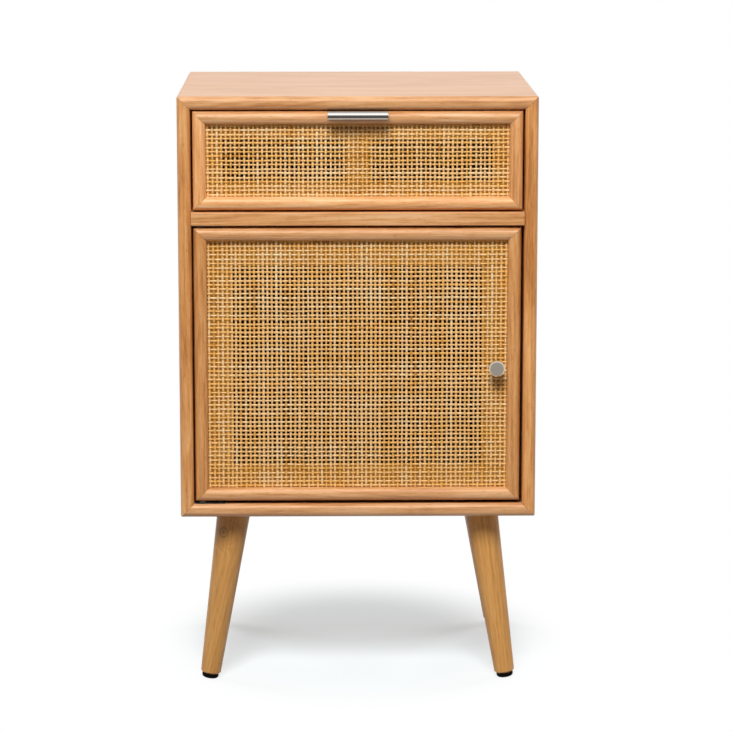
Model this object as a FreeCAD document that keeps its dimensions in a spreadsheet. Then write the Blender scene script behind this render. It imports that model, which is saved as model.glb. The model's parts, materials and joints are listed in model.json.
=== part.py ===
"""Bedside cabinet on splayed legs: one drawer above one side-hung door, both with cane fronts.

Frame: +Z up, +X to the right, the front faces -Y, origin on the floor under the middle of the
bounding box.  Every size is a cell of the sheet "dim", in millimetres and degrees.
"""
import FreeCAD, Part
import math
import os
import Sketcher

SIZES = {
    # cabinet box, made of four mitred boards with a solid-wood lipping round the front
    "cabinet_width": 400, "cabinet_depth": 335, "box_height": 475, "leg_height": 200,
    "board": 15, "corner_bevel": 1.8, "trim_depth": 10, "trim_round": 6, "rail_round": 1.2,
    "back_thickness": 5, "back_rebate": 8, "back_clearance": 0.5,
    "drawer_bay_height": 113.5, "dowel_radius": 4, "dowel_length": 30, "dowel_in_side": 10,
    # gaps round the drawer front and the door
    "drawer_gap_top": 1.5, "drawer_gap_bottom": 2, "front_gap_side": 2,
    "door_gap_top": 2.5, "door_gap_bottom": 3.5, "door_gap_right": 3,
    # half-round frame moulding, the cane laid in its rebate and the backing behind the cane
    "frame_face": 15, "frame_depth": 18, "frame_round": 7, "frame_lip": 8, "frame_rebate": 6,
    "frame_bevel": 0.8, "panel_clearance": 0.3, "cane_thickness": 1.5, "cane_hole_share": 0.52,
    "drawer_border_top": 16, "drawer_border_bottom": 16, "drawer_border_side": 16,
    "drawer_centre_bar": 26,
    "door_border_top": 29, "door_border_bottom": 25, "door_border_side": 28,
    # drawer box
    "drawer_side": 12, "drawer_back_clearance": 32, "drawer_box_height": 85,
    "drawer_box_lift": 7.5,
    "drawer_bottom_thickness": 4, "groove_height": 8, "groove_depth": 5, "front_groove": 4,
    # ball-bearing slides
    "slide_width": 10, "slide_length": 250, "slide_set_back": 2, "slide_wall": 1.2,
    "slide_half_height": 13.5, "slide_lip_reach": 8.6, "runner_half_height": 8.7,
    "runner_reach": 7.8, "ball_radius": 1.75, "ball_across": 5, "ball_clearance": 0.05,
    "cage_wall": 0.6, "cage_web_gap": 0.2, "cage_reach": 8, "cage_margin": 4, "cage_end": 6,
    "drawer_travel": 170,
    # door pivots
    "pivot_inset": 7.5, "pivot_depth": 8.5, "pin_radius": 2, "pin_reach": 7.5, "pin_clearance": 0.05,
    "bush_radius": 3, "bush_length": 8, "bush_flange_radius": 4.5, "bush_face_gap": 0.2,
    "plate_thickness": 1.2, "plate_length": 34, "plate_width": 14, "plate_set_back": 5,
    "plate_start": 1, "plate_screw_first": 16, "plate_screw_second": 28, "plate_screw_across": 9,
    # magnetic catch
    "catch_inset": 32, "catch_length": 30, "catch_depth": 14, "catch_height": 12, "ear_length": 11,
    "ear_thickness": 2.5, "magnet_length": 24, "magnet_depth": 8, "magnet_height": 8,
    "catch_gap": 0.3, "strike_length": 26, "strike_height": 8.5, "strike_thickness": 1.2,
    "strike_edge": 0.5,
    # knob and edge pull
    "knob_inset": 27, "knob_drop": 2, "knob_height": 20, "knob_radius": 8.8, "knob_head": 8,
    "knob_chamfer": 1.2, "knob_neck_radius": 4, "knob_base_radius": 6, "knob_base": 2,
    "knob_screw_radius": 2, "knob_screw_grip": 10, "knob_screw_head_radius": 4,
    "knob_screw_head": 2.4,
    "pull_length": 66.5, "pull_reach": 14, "pull_drop": 8.3, "pull_lip": 3, "pull_under": 1,
    "pull_slant": 1.6, "tongue": 0.9, "tongue_depth": 13, "pull_round": 4.4,
    "pull_lower_round": 2.6,
    "pull_screw_spacing": 44, "pull_screw_back": 9,
    # legs and feet
    "leg_inset": 59.1, "leg_set_back": 48, "splay": 8.45, "leg_top_radius": 19,
    "leg_foot_radius": 11.5, "leg_chamfer": 1.6, "foot_radius": 9.5, "foot_thickness": 6,
    "foot_round": 3, "foot_flat": 0.5, "spigot_radius": 2.5, "spigot_length": 9,
    "bolt_radius": 4, "bolt_in_leg": 40, "insert_radius": 6, "insert_length": 12,
    # screws: countersunk, each with its head, shank and length
    "screw_head_radius": 2.75, "screw_head": 1.2, "screw_radius": 1.5, "screw_length": 12,
    "box_screw_head_radius": 3.5, "box_screw_head": 2, "box_screw_radius": 1.75,
    "box_screw_length": 30,
    "pull_screw_head_radius": 2.4, "pull_screw_head": 0.9, "pull_screw_radius": 1.25,
    "pull_screw_length": 10,
    "back_screw_spread": 200, "back_screw_rise": 240, "slide_screw_first": 30,
    "slide_screw_last": 220,
}
BALLS_PER_ROW = 4
# plain openings in the cane, some 28 mm apart, that stand for its 5 mm weave
DRAWER_OPENINGS_PER_ROW = 5
DRAWER_OPENING_ROWS = 2
DOOR_OPENINGS_PER_ROW = 10
DOOR_OPENING_ROWS = 8
# radius of the ring on which a sketch's corners start, before its constraints place them
START_RING = 10

doc = FreeCAD.newDocument("storage_side_table")
sheet = doc.addObject("Spreadsheet::Sheet", "dim")
for row, (alias, value) in enumerate(SIZES.items(), start=1):
    sheet.set(f"A{row}", alias.replace("_", " "))
    sheet.set(f"B{row}", str(value))
    sheet.setAlias(f"B{row}", alias)
doc.recompute()

# Places that several pieces share, as expressions on the sheet.  PROUD is how far the foremost
# fitting stands out, because the bounding box starts there.
PROUD = "max(dim.pull_reach; dim.knob_height - dim.frame_lip)"
FRONT = f"(({PROUD} - dim.cabinet_depth) / 2)"
BACK = f"({FRONT} + dim.cabinet_depth)"
TOP = "(dim.leg_height + dim.box_height)"
HALF = "(dim.cabinet_width / 2)"
BAY_HALF = f"({HALF} - dim.board)"
BAY_TOP = f"({TOP} - dim.board)"
FLOOR_BOARD_TOP = "(dim.leg_height + dim.board)"
DIVIDER_TOP = f"({BAY_TOP} - dim.drawer_bay_height)"
DIVIDER_UNDERSIDE = f"({DIVIDER_TOP} - dim.board)"
TRIM_BACK = f"({FRONT} + dim.trim_depth)"
FRAME_BACK = f"({FRONT} + dim.frame_depth)"
CANE_FRONT = f"({FRONT} + dim.frame_lip)"
CANE_BACK = f"({CANE_FRONT} + dim.cane_thickness)"
BACKING = "(dim.frame_depth - dim.frame_lip - dim.cane_thickness)"
DRAWER_HALF = f"({BAY_HALF} - dim.front_gap_side)"
DRAWER_TOP = f"({BAY_TOP} - dim.drawer_gap_top)"
DRAWER_BOTTOM = f"({DIVIDER_TOP} + dim.drawer_gap_bottom)"
DOOR_LEFT = f"(dim.front_gap_side - {BAY_HALF})"
DOOR_RIGHT = f"({BAY_HALF} - dim.door_gap_right)"
DOOR_TOP = f"({DIVIDER_UNDERSIDE} - dim.door_gap_top)"
DOOR_BOTTOM = f"({FLOOR_BOARD_TOP} + dim.door_gap_bottom)"
RIM = "(dim.frame_face - dim.frame_rebate)"

nodes = []


# ---------------------------------------------------------------- building blocks
def add(kind, label):
    """Make an object of the document under its own label."""
    thing = doc.addObject(kind, label)
    thing.Label = label
    return thing


def node(thing):
    """Count an object among the finished pieces."""
    nodes.append(thing)
    return thing


def bind(thing, **sizes):
    """Bind properties of an object to expressions on the sheet."""
    for name, expression in sizes.items():
        thing.setExpression(name, expression)
    return thing


TURNS = {
    "none": ((0, 0, 1), 0),
    "+z": ((0, 0, 1), 0),
    "-z": ((1, 0, 0), 180),
    "+x": ((0, 1, 0), 90),
    "-x": ((0, 1, 0), -90),
    "+y": ((1, 0, 0), -90),
    "-y": ((1, 0, 0), 90),
    "half_turn": ((0, 0, 1), 180),
    # sides of a square frame, whose outer face is +Z before the turn
    "top": ((0, 1, 0), 0),
    "bottom": ((0, 1, 0), 180),
    "left": ((0, 1, 0), -90),
    "right": ((0, 1, 0), 90),
}


def place(thing, across, back, up, turn="none"):
    """Turn an object and bind its place; the turns are named in TURNS."""
    axis, angle = TURNS[turn]
    rotation = FreeCAD.Rotation(FreeCAD.Vector(*axis), angle)
    thing.Placement = FreeCAD.Placement(FreeCAD.Vector(0, 0, 0), rotation)
    for name, expression in (("x", across), ("y", back), ("z", up)):
        thing.setExpression(f"Placement.Base.{name}", expression)
    return thing


def box(label, low, size):
    """Part::Box from its low corner and its three lengths."""
    solid = add("Part::Box", label)
    bind(solid, Length=size[0], Width=size[1], Height=size[2])
    return place(solid, *low)


def cylinder(label, radius, length, base, direction="+z"):
    """Part::Cylinder that starts at base and runs in direction."""
    solid = add("Part::Cylinder", label)
    bind(solid, Radius=radius, Height=length)
    return place(solid, *base, direction)


def group(label, parts):
    """Separate solids under one label."""
    bundle = add("Part::Compound", label)
    bundle.Links = parts
    return bundle


def fuse(label, *parts):
    """One solid of overlapping parts."""
    whole = add("Part::MultiFuse", label)
    whole.Shapes = list(parts)
    return whole


def cut(label, base, *tools):
    """base with each tool taken away; the last cut carries the label."""
    for count, tool in enumerate(tools, start=1):
        name = label if count == len(tools) else f"{label}_cut_{count}"
        result = add("Part::Cut", name)
        result.Base = base
        result.Tool = tool
        base = result
    return base


def origin_plane(body, role):
    """One of a body's own origin planes."""
    return next(plane for plane in body.Origin.OriginFeatures if plane.Role == role)


def polygon(body, role, *loops):
    """Sketch of closed loops on an origin plane; each corner is bound in both directions."""
    sketch = body.newObject("Sketcher::SketchObject", f"{body.Name}_outline")
    sketch.AttachmentSupport = [(origin_plane(body, role), "")]
    sketch.MapMode = "FlatFace"
    first = 0
    for corners in loops:
        count = len(corners)
        seeds = []
        for turn in range(count):
            angle = 2 * math.pi * turn / count
            seeds.append(FreeCAD.Vector(math.cos(angle), math.sin(angle), 0) * START_RING)
        for here in range(count):
            sketch.addGeometry(Part.LineSegment(seeds[here], seeds[(here + 1) % count]), False)
        for here in range(count):
            joined = (first + here, 2, first + (here + 1) % count, 1)
            sketch.addConstraint(Sketcher.Constraint("Coincident", *joined))
        for here, place_of_corner in enumerate(corners):
            for kind, expression in zip(("DistanceX", "DistanceY"), place_of_corner):
                index = sketch.addConstraint(Sketcher.Constraint(kind, first + here, 1, 1.0))
                sketch.setExpression(f"Constraints[{index}]", expression)
        first += count
    return sketch


def new_body(label):
    """An empty PartDesign body."""
    return add("PartDesign::Body", label)


def pad(body, role, length, *loops, reverse=False, middle=False):
    """Pad of a polygon sketch."""
    feature = body.newObject("PartDesign::Pad", f"{body.Name}_pad")
    feature.Profile = polygon(body, role, *loops)
    feature.Reversed = reverse
    feature.SideType = "Symmetric" if middle else "One side"
    bind(feature, Length=length)
    doc.recompute()
    return feature


def pocket_through(body, role, *loops):
    """Pocket of a polygon sketch, through the body both ways; it has to remove something."""
    before = body.Shape.Volume
    feature = body.newObject("PartDesign::Pocket", f"{body.Name}_pocket")
    feature.Profile = polygon(body, role, *loops)
    feature.Type = "ThroughAll"
    feature.SideType = "Symmetric"
    doc.recompute()
    if body.Shape.Volume >= before:
        raise RuntimeError(f"{body.Label}: the pocket removed nothing")
    return feature


def round_edges(body, feature, radius, wanted):
    """Fillet the edges whose middle point and direction wanted accepts."""
    names = []
    for number, edge in enumerate(feature.Shape.Edges, start=1):
        middle = edge.valueAt((edge.FirstParameter + edge.LastParameter) / 2)
        if wanted(edge, middle):
            names.append(f"Edge{number}")
    rounded = body.newObject("PartDesign::Fillet", f"{body.Name}_round")
    rounded.Base = (feature, names)
    bind(rounded, Radius=radius)
    doc.recompute()
    return rounded


def turned(label, corners):
    """Body of revolution about its own Z axis, from corners given as (radius, height)."""
    body = new_body(label)
    feature = body.newObject("PartDesign::Revolution", f"{body.Name}_turning")
    sketch = polygon(body, "XZ_Plane", corners)
    feature.Profile = sketch
    feature.ReferenceAxis = (sketch, ["V_Axis"])
    feature.Angle = 360
    doc.recompute()
    return body


def along_x(edge):
    """True for a straight edge that runs along X."""
    start, end = edge.Vertexes[0].Point, edge.Vertexes[-1].Point
    return abs(start.y - end.y) < 1e-6 and abs(start.z - end.z) < 1e-6


def screw(label, kind, base, direction):
    """Countersunk screw: head flush at base, driven in direction; kind names its sizes."""
    head = add("Part::Cone", f"{label}_head")
    bind(head, Radius1=f"dim.{kind}_head_radius", Radius2=f"dim.{kind}_radius",
         Height=f"dim.{kind}_head")
    place(head, *base, direction)
    shank = cylinder(f"{label}_shank", f"dim.{kind}_radius", f"dim.{kind}_length", base, direction)
    return fuse(label, head, shank)


# ---------------------------------------------------------------- cabinet box
def mitred_strip(label, length, depth, edge_round, bevel, profile):
    """Strip along X with mitred ends and bevelled corners: outer face at z = 0, front at y = 0."""
    body = new_body(label)
    strip = pad(body, "YZ_Plane", length, profile, middle=True)
    round_edges(body, strip, edge_round,
                lambda edge, middle: along_x(edge) and abs(middle.y) < 1e-6)
    deep = f"({depth})"
    half = f"({length}) / 2"
    loops = []
    for sign in ("", "-"):
        loops.append([
            (f"{sign}({half} + {deep})", deep),
            (f"{sign}({half} + {deep})", f"-{deep}"),
            (f"{sign}({half} - {deep})", f"-{deep}"),
            (f"{sign}({half} - {bevel} / 2)", f"-{bevel} / 2"),
            (f"{sign}({half} - {bevel})", "0"),
            (f"{sign}({half} - {bevel})", deep),
        ])
    pocket_through(body, "XZ_Plane", *loops)
    return body


def square_frame(prefix, left, right, bottom, top, strip):
    """Four mitred strips round an opening, named prefix_top and so on."""
    across = f"({left} + {right}) / 2"
    middle = f"({bottom} + {top}) / 2"
    ends = {
        "top": (f"{right} - {left}", across, top),
        "bottom": (f"{right} - {left}", across, bottom),
        "left": (f"{top} - {bottom}", left, middle),
        "right": (f"{top} - {bottom}", right, middle),
    }
    members = {}
    for side, (length, x, z) in ends.items():
        members[side] = place(strip(f"{prefix}_{side}", length), x, FRONT, z, side)
    return members


def front_trim(label, length):
    """Solid-wood lipping on the front edges of the boards."""
    profile = [("0", "0"), ("dim.trim_depth", "0"), ("dim.trim_depth", "-dim.board"),
               ("0", "-dim.board")]
    return mitred_strip(label, length, "dim.board", "dim.trim_round", "dim.corner_bevel", profile)


def carcass_board(label, length):
    """Board along X: outer face at z = 0, bevelled corners, mitred ends, rebated for the back."""
    depth = "(dim.cabinet_depth - dim.trim_depth)"
    half = f"({length}) / 2"
    bevel = "dim.corner_bevel"
    body = new_body(label)
    pad(body, "XZ_Plane", depth, [
        (f"{bevel} - {half}", "0"),
        (f"{half} - {bevel}", "0"),
        (f"{half} - {bevel} / 2", f"-{bevel} / 2"),
        (f"{half} - dim.board", "-dim.board"),
        (f"dim.board - {half}", "-dim.board"),
        (f"{bevel} / 2 - {half}", f"-{bevel} / 2"),
    ], reverse=True)
    pocket_through(body, "YZ_Plane", [
        (f"{depth} - dim.back_thickness", "-2 * dim.board"),
        (f"{depth} - dim.back_thickness", "dim.back_rebate - dim.board"),
        (f"{depth} + dim.board", "dim.back_rebate - dim.board"),
        (f"{depth} + dim.board", "-2 * dim.board"),
    ])
    return body


def carcass_boards():
    """The four boards of the box, before they are bored."""
    height = "dim.box_height"
    middle = f"(dim.leg_height + {height} / 2)"
    ends = {
        "top": ("top_board", "dim.cabinet_width", "0", TOP),
        "bottom": ("bottom_board", "dim.cabinet_width", "0", "dim.leg_height"),
        "left": ("left_board", height, f"-{HALF}", middle),
        "right": ("right_board", height, HALF, middle),
    }
    boards = {}
    for side, (label, length, x, z) in ends.items():
        boards[side] = place(carcass_board(label, length), x, TRIM_BACK, z, side)
    return boards


def divider_rail():
    """Flat rail on the front of the divider, with lightly eased edges."""
    body = new_body("divider_front_rail")
    length = f"2 * {BAY_HALF}"
    strip = pad(body, "YZ_Plane", length, [
        ("0", "0"), ("dim.trim_depth", "0"), ("dim.trim_depth", "-dim.board"), ("0", "-dim.board"),
    ], middle=True)
    round_edges(body, strip, "dim.rail_round",
                lambda edge, middle: along_x(edge) and abs(middle.y) < 1e-6)
    return place(body, "0", FRONT, DIVIDER_TOP)


def divider_dowels():
    """Two dowels at each end of the divider, glued into the side boards."""
    dowels = []
    depth = f"(dim.cabinet_depth - dim.trim_depth - dim.back_thickness)"
    for count, share in enumerate((1, 3), start=1):
        y = f"{TRIM_BACK} + {depth} * {share} / 4"
        z = f"{DIVIDER_TOP} - dim.board / 2"
        for side, start in (("left", f"-{BAY_HALF} - dim.dowel_in_side"),
                            ("right", f"{BAY_HALF} + dim.dowel_in_side - dim.dowel_length")):
            dowels.append(cylinder(f"dowel_{side}_{count}", "dim.dowel_radius",
                                   "dim.dowel_length", (start, y, z), "+x"))
    return node(group("divider_dowels", dowels))


def back_screws():
    """Screws through the back panel into the rebate of each board."""
    inset = "dim.back_rebate / 2"
    middle = f"(dim.leg_height + dim.box_height / 2)"
    spots = []
    for sign in ("-", ""):
        x = f"{sign}dim.back_screw_spread / 2"
        spots.append((x, f"{BAY_TOP} + {inset}"))
        spots.append((x, f"{FLOOR_BOARD_TOP} - {inset}"))
        rise = f"{middle} + {sign}1 * dim.back_screw_rise / 2"
        spots.append((f"{BAY_HALF} + {inset}", rise))
        spots.append((f"-{BAY_HALF} - {inset}", rise))
    return [screw(f"back_screw_{count}", "screw", (x, BACK, z), "-y")
            for count, (x, z) in enumerate(spots, start=1)]


# ---------------------------------------------------------------- drawer slides
SLIDE_START = f"({FRAME_BACK} + dim.slide_set_back)"
SLIDE_END = f"({SLIDE_START} + dim.slide_length)"
BOX_LENGTH = "(dim.cabinet_depth - dim.back_thickness - dim.frame_depth - dim.drawer_back_clearance)"
BOX_BOTTOM = f"({DRAWER_BOTTOM} + dim.drawer_box_lift)"
SLIDE_MIDDLE = f"({BOX_BOTTOM} + dim.drawer_box_height / 2)"
BOX_HALF = f"({BAY_HALF} - dim.slide_width)"
BALL_UP = "((dim.slide_half_height - dim.slide_wall + dim.runner_half_height) / 2)"
CAGE_LENGTH = "(dim.slide_length - dim.drawer_travel - 2 * dim.cage_margin)"
CAGE_START = f"({SLIDE_START} + dim.drawer_travel / 2 + dim.cage_margin)"


def channel(label, length, near, far, half_height, wall, open_side):
    """Pressed channel along +Y: web at near or far, flanges at plus and minus half_height."""
    web_in = f"{near} + {wall}" if open_side == "far" else f"{far} - {wall}"
    web_out, edge = (near, far) if open_side == "far" else (far, near)
    body = new_body(label)
    pad(body, "XZ_Plane", length, [
        (web_out, half_height),
        (edge, half_height),
        (edge, f"{half_height} - {wall}"),
        (web_in, f"{half_height} - {wall}"),
        (web_in, f"{wall} - {half_height}"),
        (edge, f"{wall} - {half_height}"),
        (edge, f"-{half_height}"),
        (web_out, f"-{half_height}"),
    ], reverse=True)
    return body


def slide_screws(side, name, face, direction):
    """Two screws through the web of a slide member."""
    screws = []
    for end in ("first", "last"):
        y = f"{SLIDE_START} + dim.slide_screw_{end}"
        screws.append(screw(f"{name}_screw_{side}_{end}", "screw", (face, y, SLIDE_MIDDLE),
                            direction))
    return screws


def slide(side):
    """One ball-bearing slide: cabinet rail, drawer runner, ball cage and balls."""
    sign, turn = ("-", "none") if side == "left" else ("", "half_turn")
    wall_face = f"{sign}{BAY_HALF}"
    start = SLIDE_START if side == "left" else SLIDE_END
    rail = channel(f"slide_rail_{side}_blank", "dim.slide_length", "0", "dim.slide_lip_reach",
                   "dim.slide_half_height", "dim.slide_wall", "far")
    place(rail, wall_face, start, SLIDE_MIDDLE, turn)
    runner = channel(f"slide_runner_{side}_blank", "dim.slide_length",
                     "dim.slide_width - dim.runner_reach", "dim.slide_width",
                     "dim.runner_half_height", "dim.slide_wall", "near")
    place(runner, wall_face, start, SLIDE_MIDDLE, turn)

    web = "(dim.slide_wall + dim.cage_web_gap)"
    cage = channel(f"ball_cage_{side}_blank", CAGE_LENGTH, web, "dim.cage_reach",
                   f"({BALL_UP} + dim.cage_wall / 2)", "dim.cage_wall", "far")
    cage_start = CAGE_START if side == "left" else f"{CAGE_START} + {CAGE_LENGTH}"
    place(cage, wall_face, cage_start, SLIDE_MIDDLE, turn)

    inward = "+1" if side == "left" else "-1"
    ball_x = f"{wall_face} {inward} * dim.ball_across"
    pitch = f"({CAGE_LENGTH} - 2 * dim.cage_end) / {BALLS_PER_ROW - 1}"
    balls = []
    holes = []
    for row, up in (("upper", BALL_UP), ("lower", f"-{BALL_UP}")):
        for count in range(BALLS_PER_ROW):
            spot = (ball_x, f"{CAGE_START} + dim.cage_end + {count} * {pitch}",
                    f"{SLIDE_MIDDLE} + {up}")
            ball = add("Part::Sphere", f"ball_{side}_{row}_{count + 1}")
            bind(ball, Radius="dim.ball_radius")
            balls.append(place(ball, *spot))
            below = (spot[0], spot[1], f"{spot[2]} - dim.cage_wall")
            holes.append(cylinder(f"ball_hole_{side}_{row}_{count + 1}",
                                  "dim.ball_radius + dim.ball_clearance", "2 * dim.cage_wall",
                                  below))
    node(cut(f"ball_cage_{side}", cage, group(f"ball_holes_{side}", holes)))
    node(group(f"slide_balls_{side}", balls))

    outward, back_in = ("-x", "+x") if side == "left" else ("+x", "-x")
    rail_face = f"{wall_face} {inward} * dim.slide_wall"
    runner_face = f"{wall_face} {inward} * (dim.slide_width - dim.slide_wall)"
    rail_screws = slide_screws(side, "rail", rail_face, outward)
    runner_screws = slide_screws(side, "runner", runner_face, back_in)
    node(cut(f"slide_rail_{side}", rail, group(f"rail_screws_{side}", rail_screws)))
    node(cut(f"slide_runner_{side}", runner, group(f"runner_screws_{side}", runner_screws)))
    return rail_screws, runner_screws


# ---------------------------------------------------------------- cane-fronted frames
def frame_member(label, length):
    """Half-round moulding with a rebate at the back of its inner edge."""
    profile = [("0", "0"), ("dim.frame_depth", "0"), ("dim.frame_depth", f"-{RIM}"),
               ("dim.frame_lip", f"-{RIM}"), ("dim.frame_lip", "-dim.frame_face"),
               ("0", "-dim.frame_face")]
    return mitred_strip(label, length, "dim.frame_face", "dim.frame_round", "dim.frame_bevel",
                        profile)


def rebate_box(label, left, right, bottom, top, y, thickness):
    """Flat panel that fills the rebate of a frame, less its clearance."""
    inset = f"({RIM} + dim.panel_clearance)"
    low = (f"{left} + {inset}", y, f"{bottom} + {inset}")
    size = (f"{right} - {left} - 2 * {inset}", thickness, f"{top} - {bottom} - 2 * {inset}")
    return box(label, low, size)


def window(label, low_x, high_x, low_z, high_z):
    """Cutting block for a window through a backing board."""
    low = (low_x, f"{CANE_BACK} - dim.frame_lip", low_z)
    size = (f"{high_x} - ({low_x})", f"{BACKING} + 2 * dim.frame_lip", f"{high_z} - ({low_z})")
    return box(label, low, size)


def cane_sheet(label, edges, windows):
    """Cane in the rebate, with a plain grid of openings in front of each window of the backing."""
    cane = rebate_box(f"{label}_blank", *edges, CANE_FRONT, "dim.cane_thickness")
    margin = "(1 - dim.cane_hole_share) / 2"
    holes = []
    for left, right, bottom, top, columns, rows in windows:
        wide = f"(({right}) - ({left})) / {columns}"
        tall = f"(({top}) - ({bottom})) / {rows}"
        for column in range(columns):
            for row in range(rows):
                low = (f"{left} + {wide} * ({column} + {margin})",
                       f"{CANE_FRONT} - dim.cane_thickness",
                       f"{bottom} + {tall} * ({row} + {margin})")
                size = (f"{wide} * dim.cane_hole_share", "3 * dim.cane_thickness",
                        f"{tall} * dim.cane_hole_share")
                holes.append(box(f"{label}_hole_{len(holes) + 1}", low, size))
    return cane, group(f"{label}_holes", holes)


# ---------------------------------------------------------------- drawer
def drawer_box_screws():
    """Long screws: through the backing into the sides, and through the sides into the back."""
    spots = []
    back_y = f"{FRAME_BACK} + {BOX_LENGTH} - dim.drawer_side / 2"
    side_middle = f"({BOX_HALF} - dim.drawer_side / 2)"
    for height in ("dim.drawer_box_height / 4", "dim.drawer_box_height * 3 / 4"):
        z = f"{BOX_BOTTOM} + {height}"
        spots.append((f"-{side_middle}", CANE_BACK, z, "+y"))
        spots.append((side_middle, CANE_BACK, z, "+y"))
        spots.append((f"-{BOX_HALF}", back_y, z, "+x"))
        spots.append((BOX_HALF, back_y, z, "-x"))
    return node(group("drawer_box_screws", [
        screw(f"drawer_box_screw_{count}", "box_screw", (x, y, z), direction)
        for count, (x, y, z, direction) in enumerate(spots, start=1)
    ]))


def drawer_pull():
    """Bent metal edge pull: a tongue on the drawer's top edge and a lip that leans back below."""
    body = new_body("drawer_pull_blank")
    outline = pad(body, "YZ_Plane", "dim.pull_length", [
        ("-dim.pull_reach", "dim.tongue"),
        ("dim.tongue_depth", "dim.tongue"),
        ("dim.tongue_depth", "0"),
        ("0", "0"),
        ("0", "-dim.pull_under"),
        ("dim.pull_lip - dim.pull_reach", "-dim.pull_under"),
        ("dim.pull_slant + dim.pull_lip - dim.pull_reach", "-dim.pull_drop"),
        ("dim.pull_slant - dim.pull_reach", "-dim.pull_drop"),
    ], middle=True)
    highest = outline.Shape.BoundBox.ZMax
    top_round = round_edges(body, outline, "dim.pull_round",
                            lambda edge, middle: along_x(edge) and middle.y < 0
                            and abs(middle.z - highest) < 1e-6)
    lowest = top_round.Shape.BoundBox.ZMin
    lip_middle = sheet.get("pull_slant") - sheet.get("pull_reach") + sheet.get("pull_lip") / 2
    round_edges(body, top_round, "dim.pull_lower_round",
                lambda edge, middle: along_x(edge) and middle.y < lip_middle
                and abs(middle.z - lowest) < 1e-6)
    place(body, "0", FRONT, DRAWER_TOP)
    screws = []
    for count, sign in enumerate(("-", ""), start=1):
        spot = (f"{sign}dim.pull_screw_spacing / 2", f"{FRONT} + dim.pull_screw_back",
                f"{DRAWER_TOP} + dim.tongue")
        screws.append(screw(f"pull_screw_{count}", "pull_screw", spot, "-z"))
    screws = node(group("pull_screws", screws))
    node(cut("drawer_pull", body, screws))
    return screws


def drawer(runner_screws):
    """Drawer: cane front, backing with two windows, box, pull and their screws."""
    left, right = f"-{DRAWER_HALF}", DRAWER_HALF
    frame = square_frame("drawer_frame", left, right, DRAWER_BOTTOM, DRAWER_TOP, frame_member)
    pull_screws = drawer_pull()
    frame["top"].Label = "drawer_frame_top_blank"
    node(cut("drawer_frame_top", frame["top"], pull_screws))
    for side in ("bottom", "left", "right"):
        node(frame[side])
    edges = (left, right, DRAWER_BOTTOM, DRAWER_TOP)

    box_screws = drawer_box_screws()
    runner_group = node(group("runner_screws", runner_screws))
    bottom_z = f"({BOX_BOTTOM} + dim.groove_height)"
    bottom_top = f"({bottom_z} + dim.drawer_bottom_thickness)"
    inner_half = f"({BOX_HALF} - dim.drawer_side)"
    groove_half = f"({inner_half} + dim.groove_depth)"

    window_low = f"{DRAWER_BOTTOM} + dim.frame_face + dim.drawer_border_bottom"
    window_high = f"{DRAWER_TOP} - dim.frame_face - dim.drawer_border_top"
    window_far = f"({DRAWER_HALF} - dim.frame_face - dim.drawer_border_side)"
    bar = "dim.drawer_centre_bar / 2"
    views = {"left": (f"-{window_far}", f"-{bar}", window_low, window_high),
             "right": (bar, window_far, window_low, window_high)}
    windows = group("drawer_windows", [
        window(f"drawer_window_{side}", *view) for side, view in views.items()
    ])
    grid = (DRAWER_OPENINGS_PER_ROW, DRAWER_OPENING_ROWS)
    cane, holes = cane_sheet("drawer_cane", edges, [view + grid for view in views.values()])
    node(cut("drawer_cane_panel", cane, holes))
    groove_y = f"({FRAME_BACK} - dim.front_groove)"
    groove = box("drawer_bottom_grooves", (f"-{groove_half}", groove_y, bottom_z),
                 (f"2 * {groove_half}", f"dim.front_groove + {BOX_LENGTH}",
                  "dim.drawer_bottom_thickness"))
    backing = rebate_box("drawer_backing_blank", *edges, CANE_BACK, BACKING)
    node(cut("drawer_backing", backing, windows, groove, box_screws))

    side_size = ("dim.drawer_side", BOX_LENGTH, "dim.drawer_box_height")
    for side, x in (("left", f"-{BOX_HALF}"), ("right", inner_half)):
        blank = box(f"drawer_side_{side}_blank", (x, FRAME_BACK, BOX_BOTTOM), side_size)
        node(cut(f"drawer_side_{side}", blank, groove, box_screws, runner_group))
    back_y = f"{FRAME_BACK} + {BOX_LENGTH} - dim.drawer_side"
    back_height = "dim.drawer_box_height - dim.groove_height - dim.drawer_bottom_thickness"
    back = box("drawer_back_blank", (f"-{inner_half}", back_y, bottom_top),
               (f"2 * {inner_half}", "dim.drawer_side", back_height))
    node(cut("drawer_back", back, box_screws))
    slack = "dim.panel_clearance"
    node(box("drawer_bottom", (f"{slack} - {groove_half}", f"{groove_y} + {slack}", bottom_z),
             (f"2 * ({groove_half} - {slack})",
              f"dim.front_groove + {BOX_LENGTH} - {slack}",
              "dim.drawer_bottom_thickness")))


# ---------------------------------------------------------------- door
PIVOT_X = f"({DOOR_LEFT} + dim.pivot_inset)"
PIVOT_Y = f"({FRONT} + dim.pivot_depth)"


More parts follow.
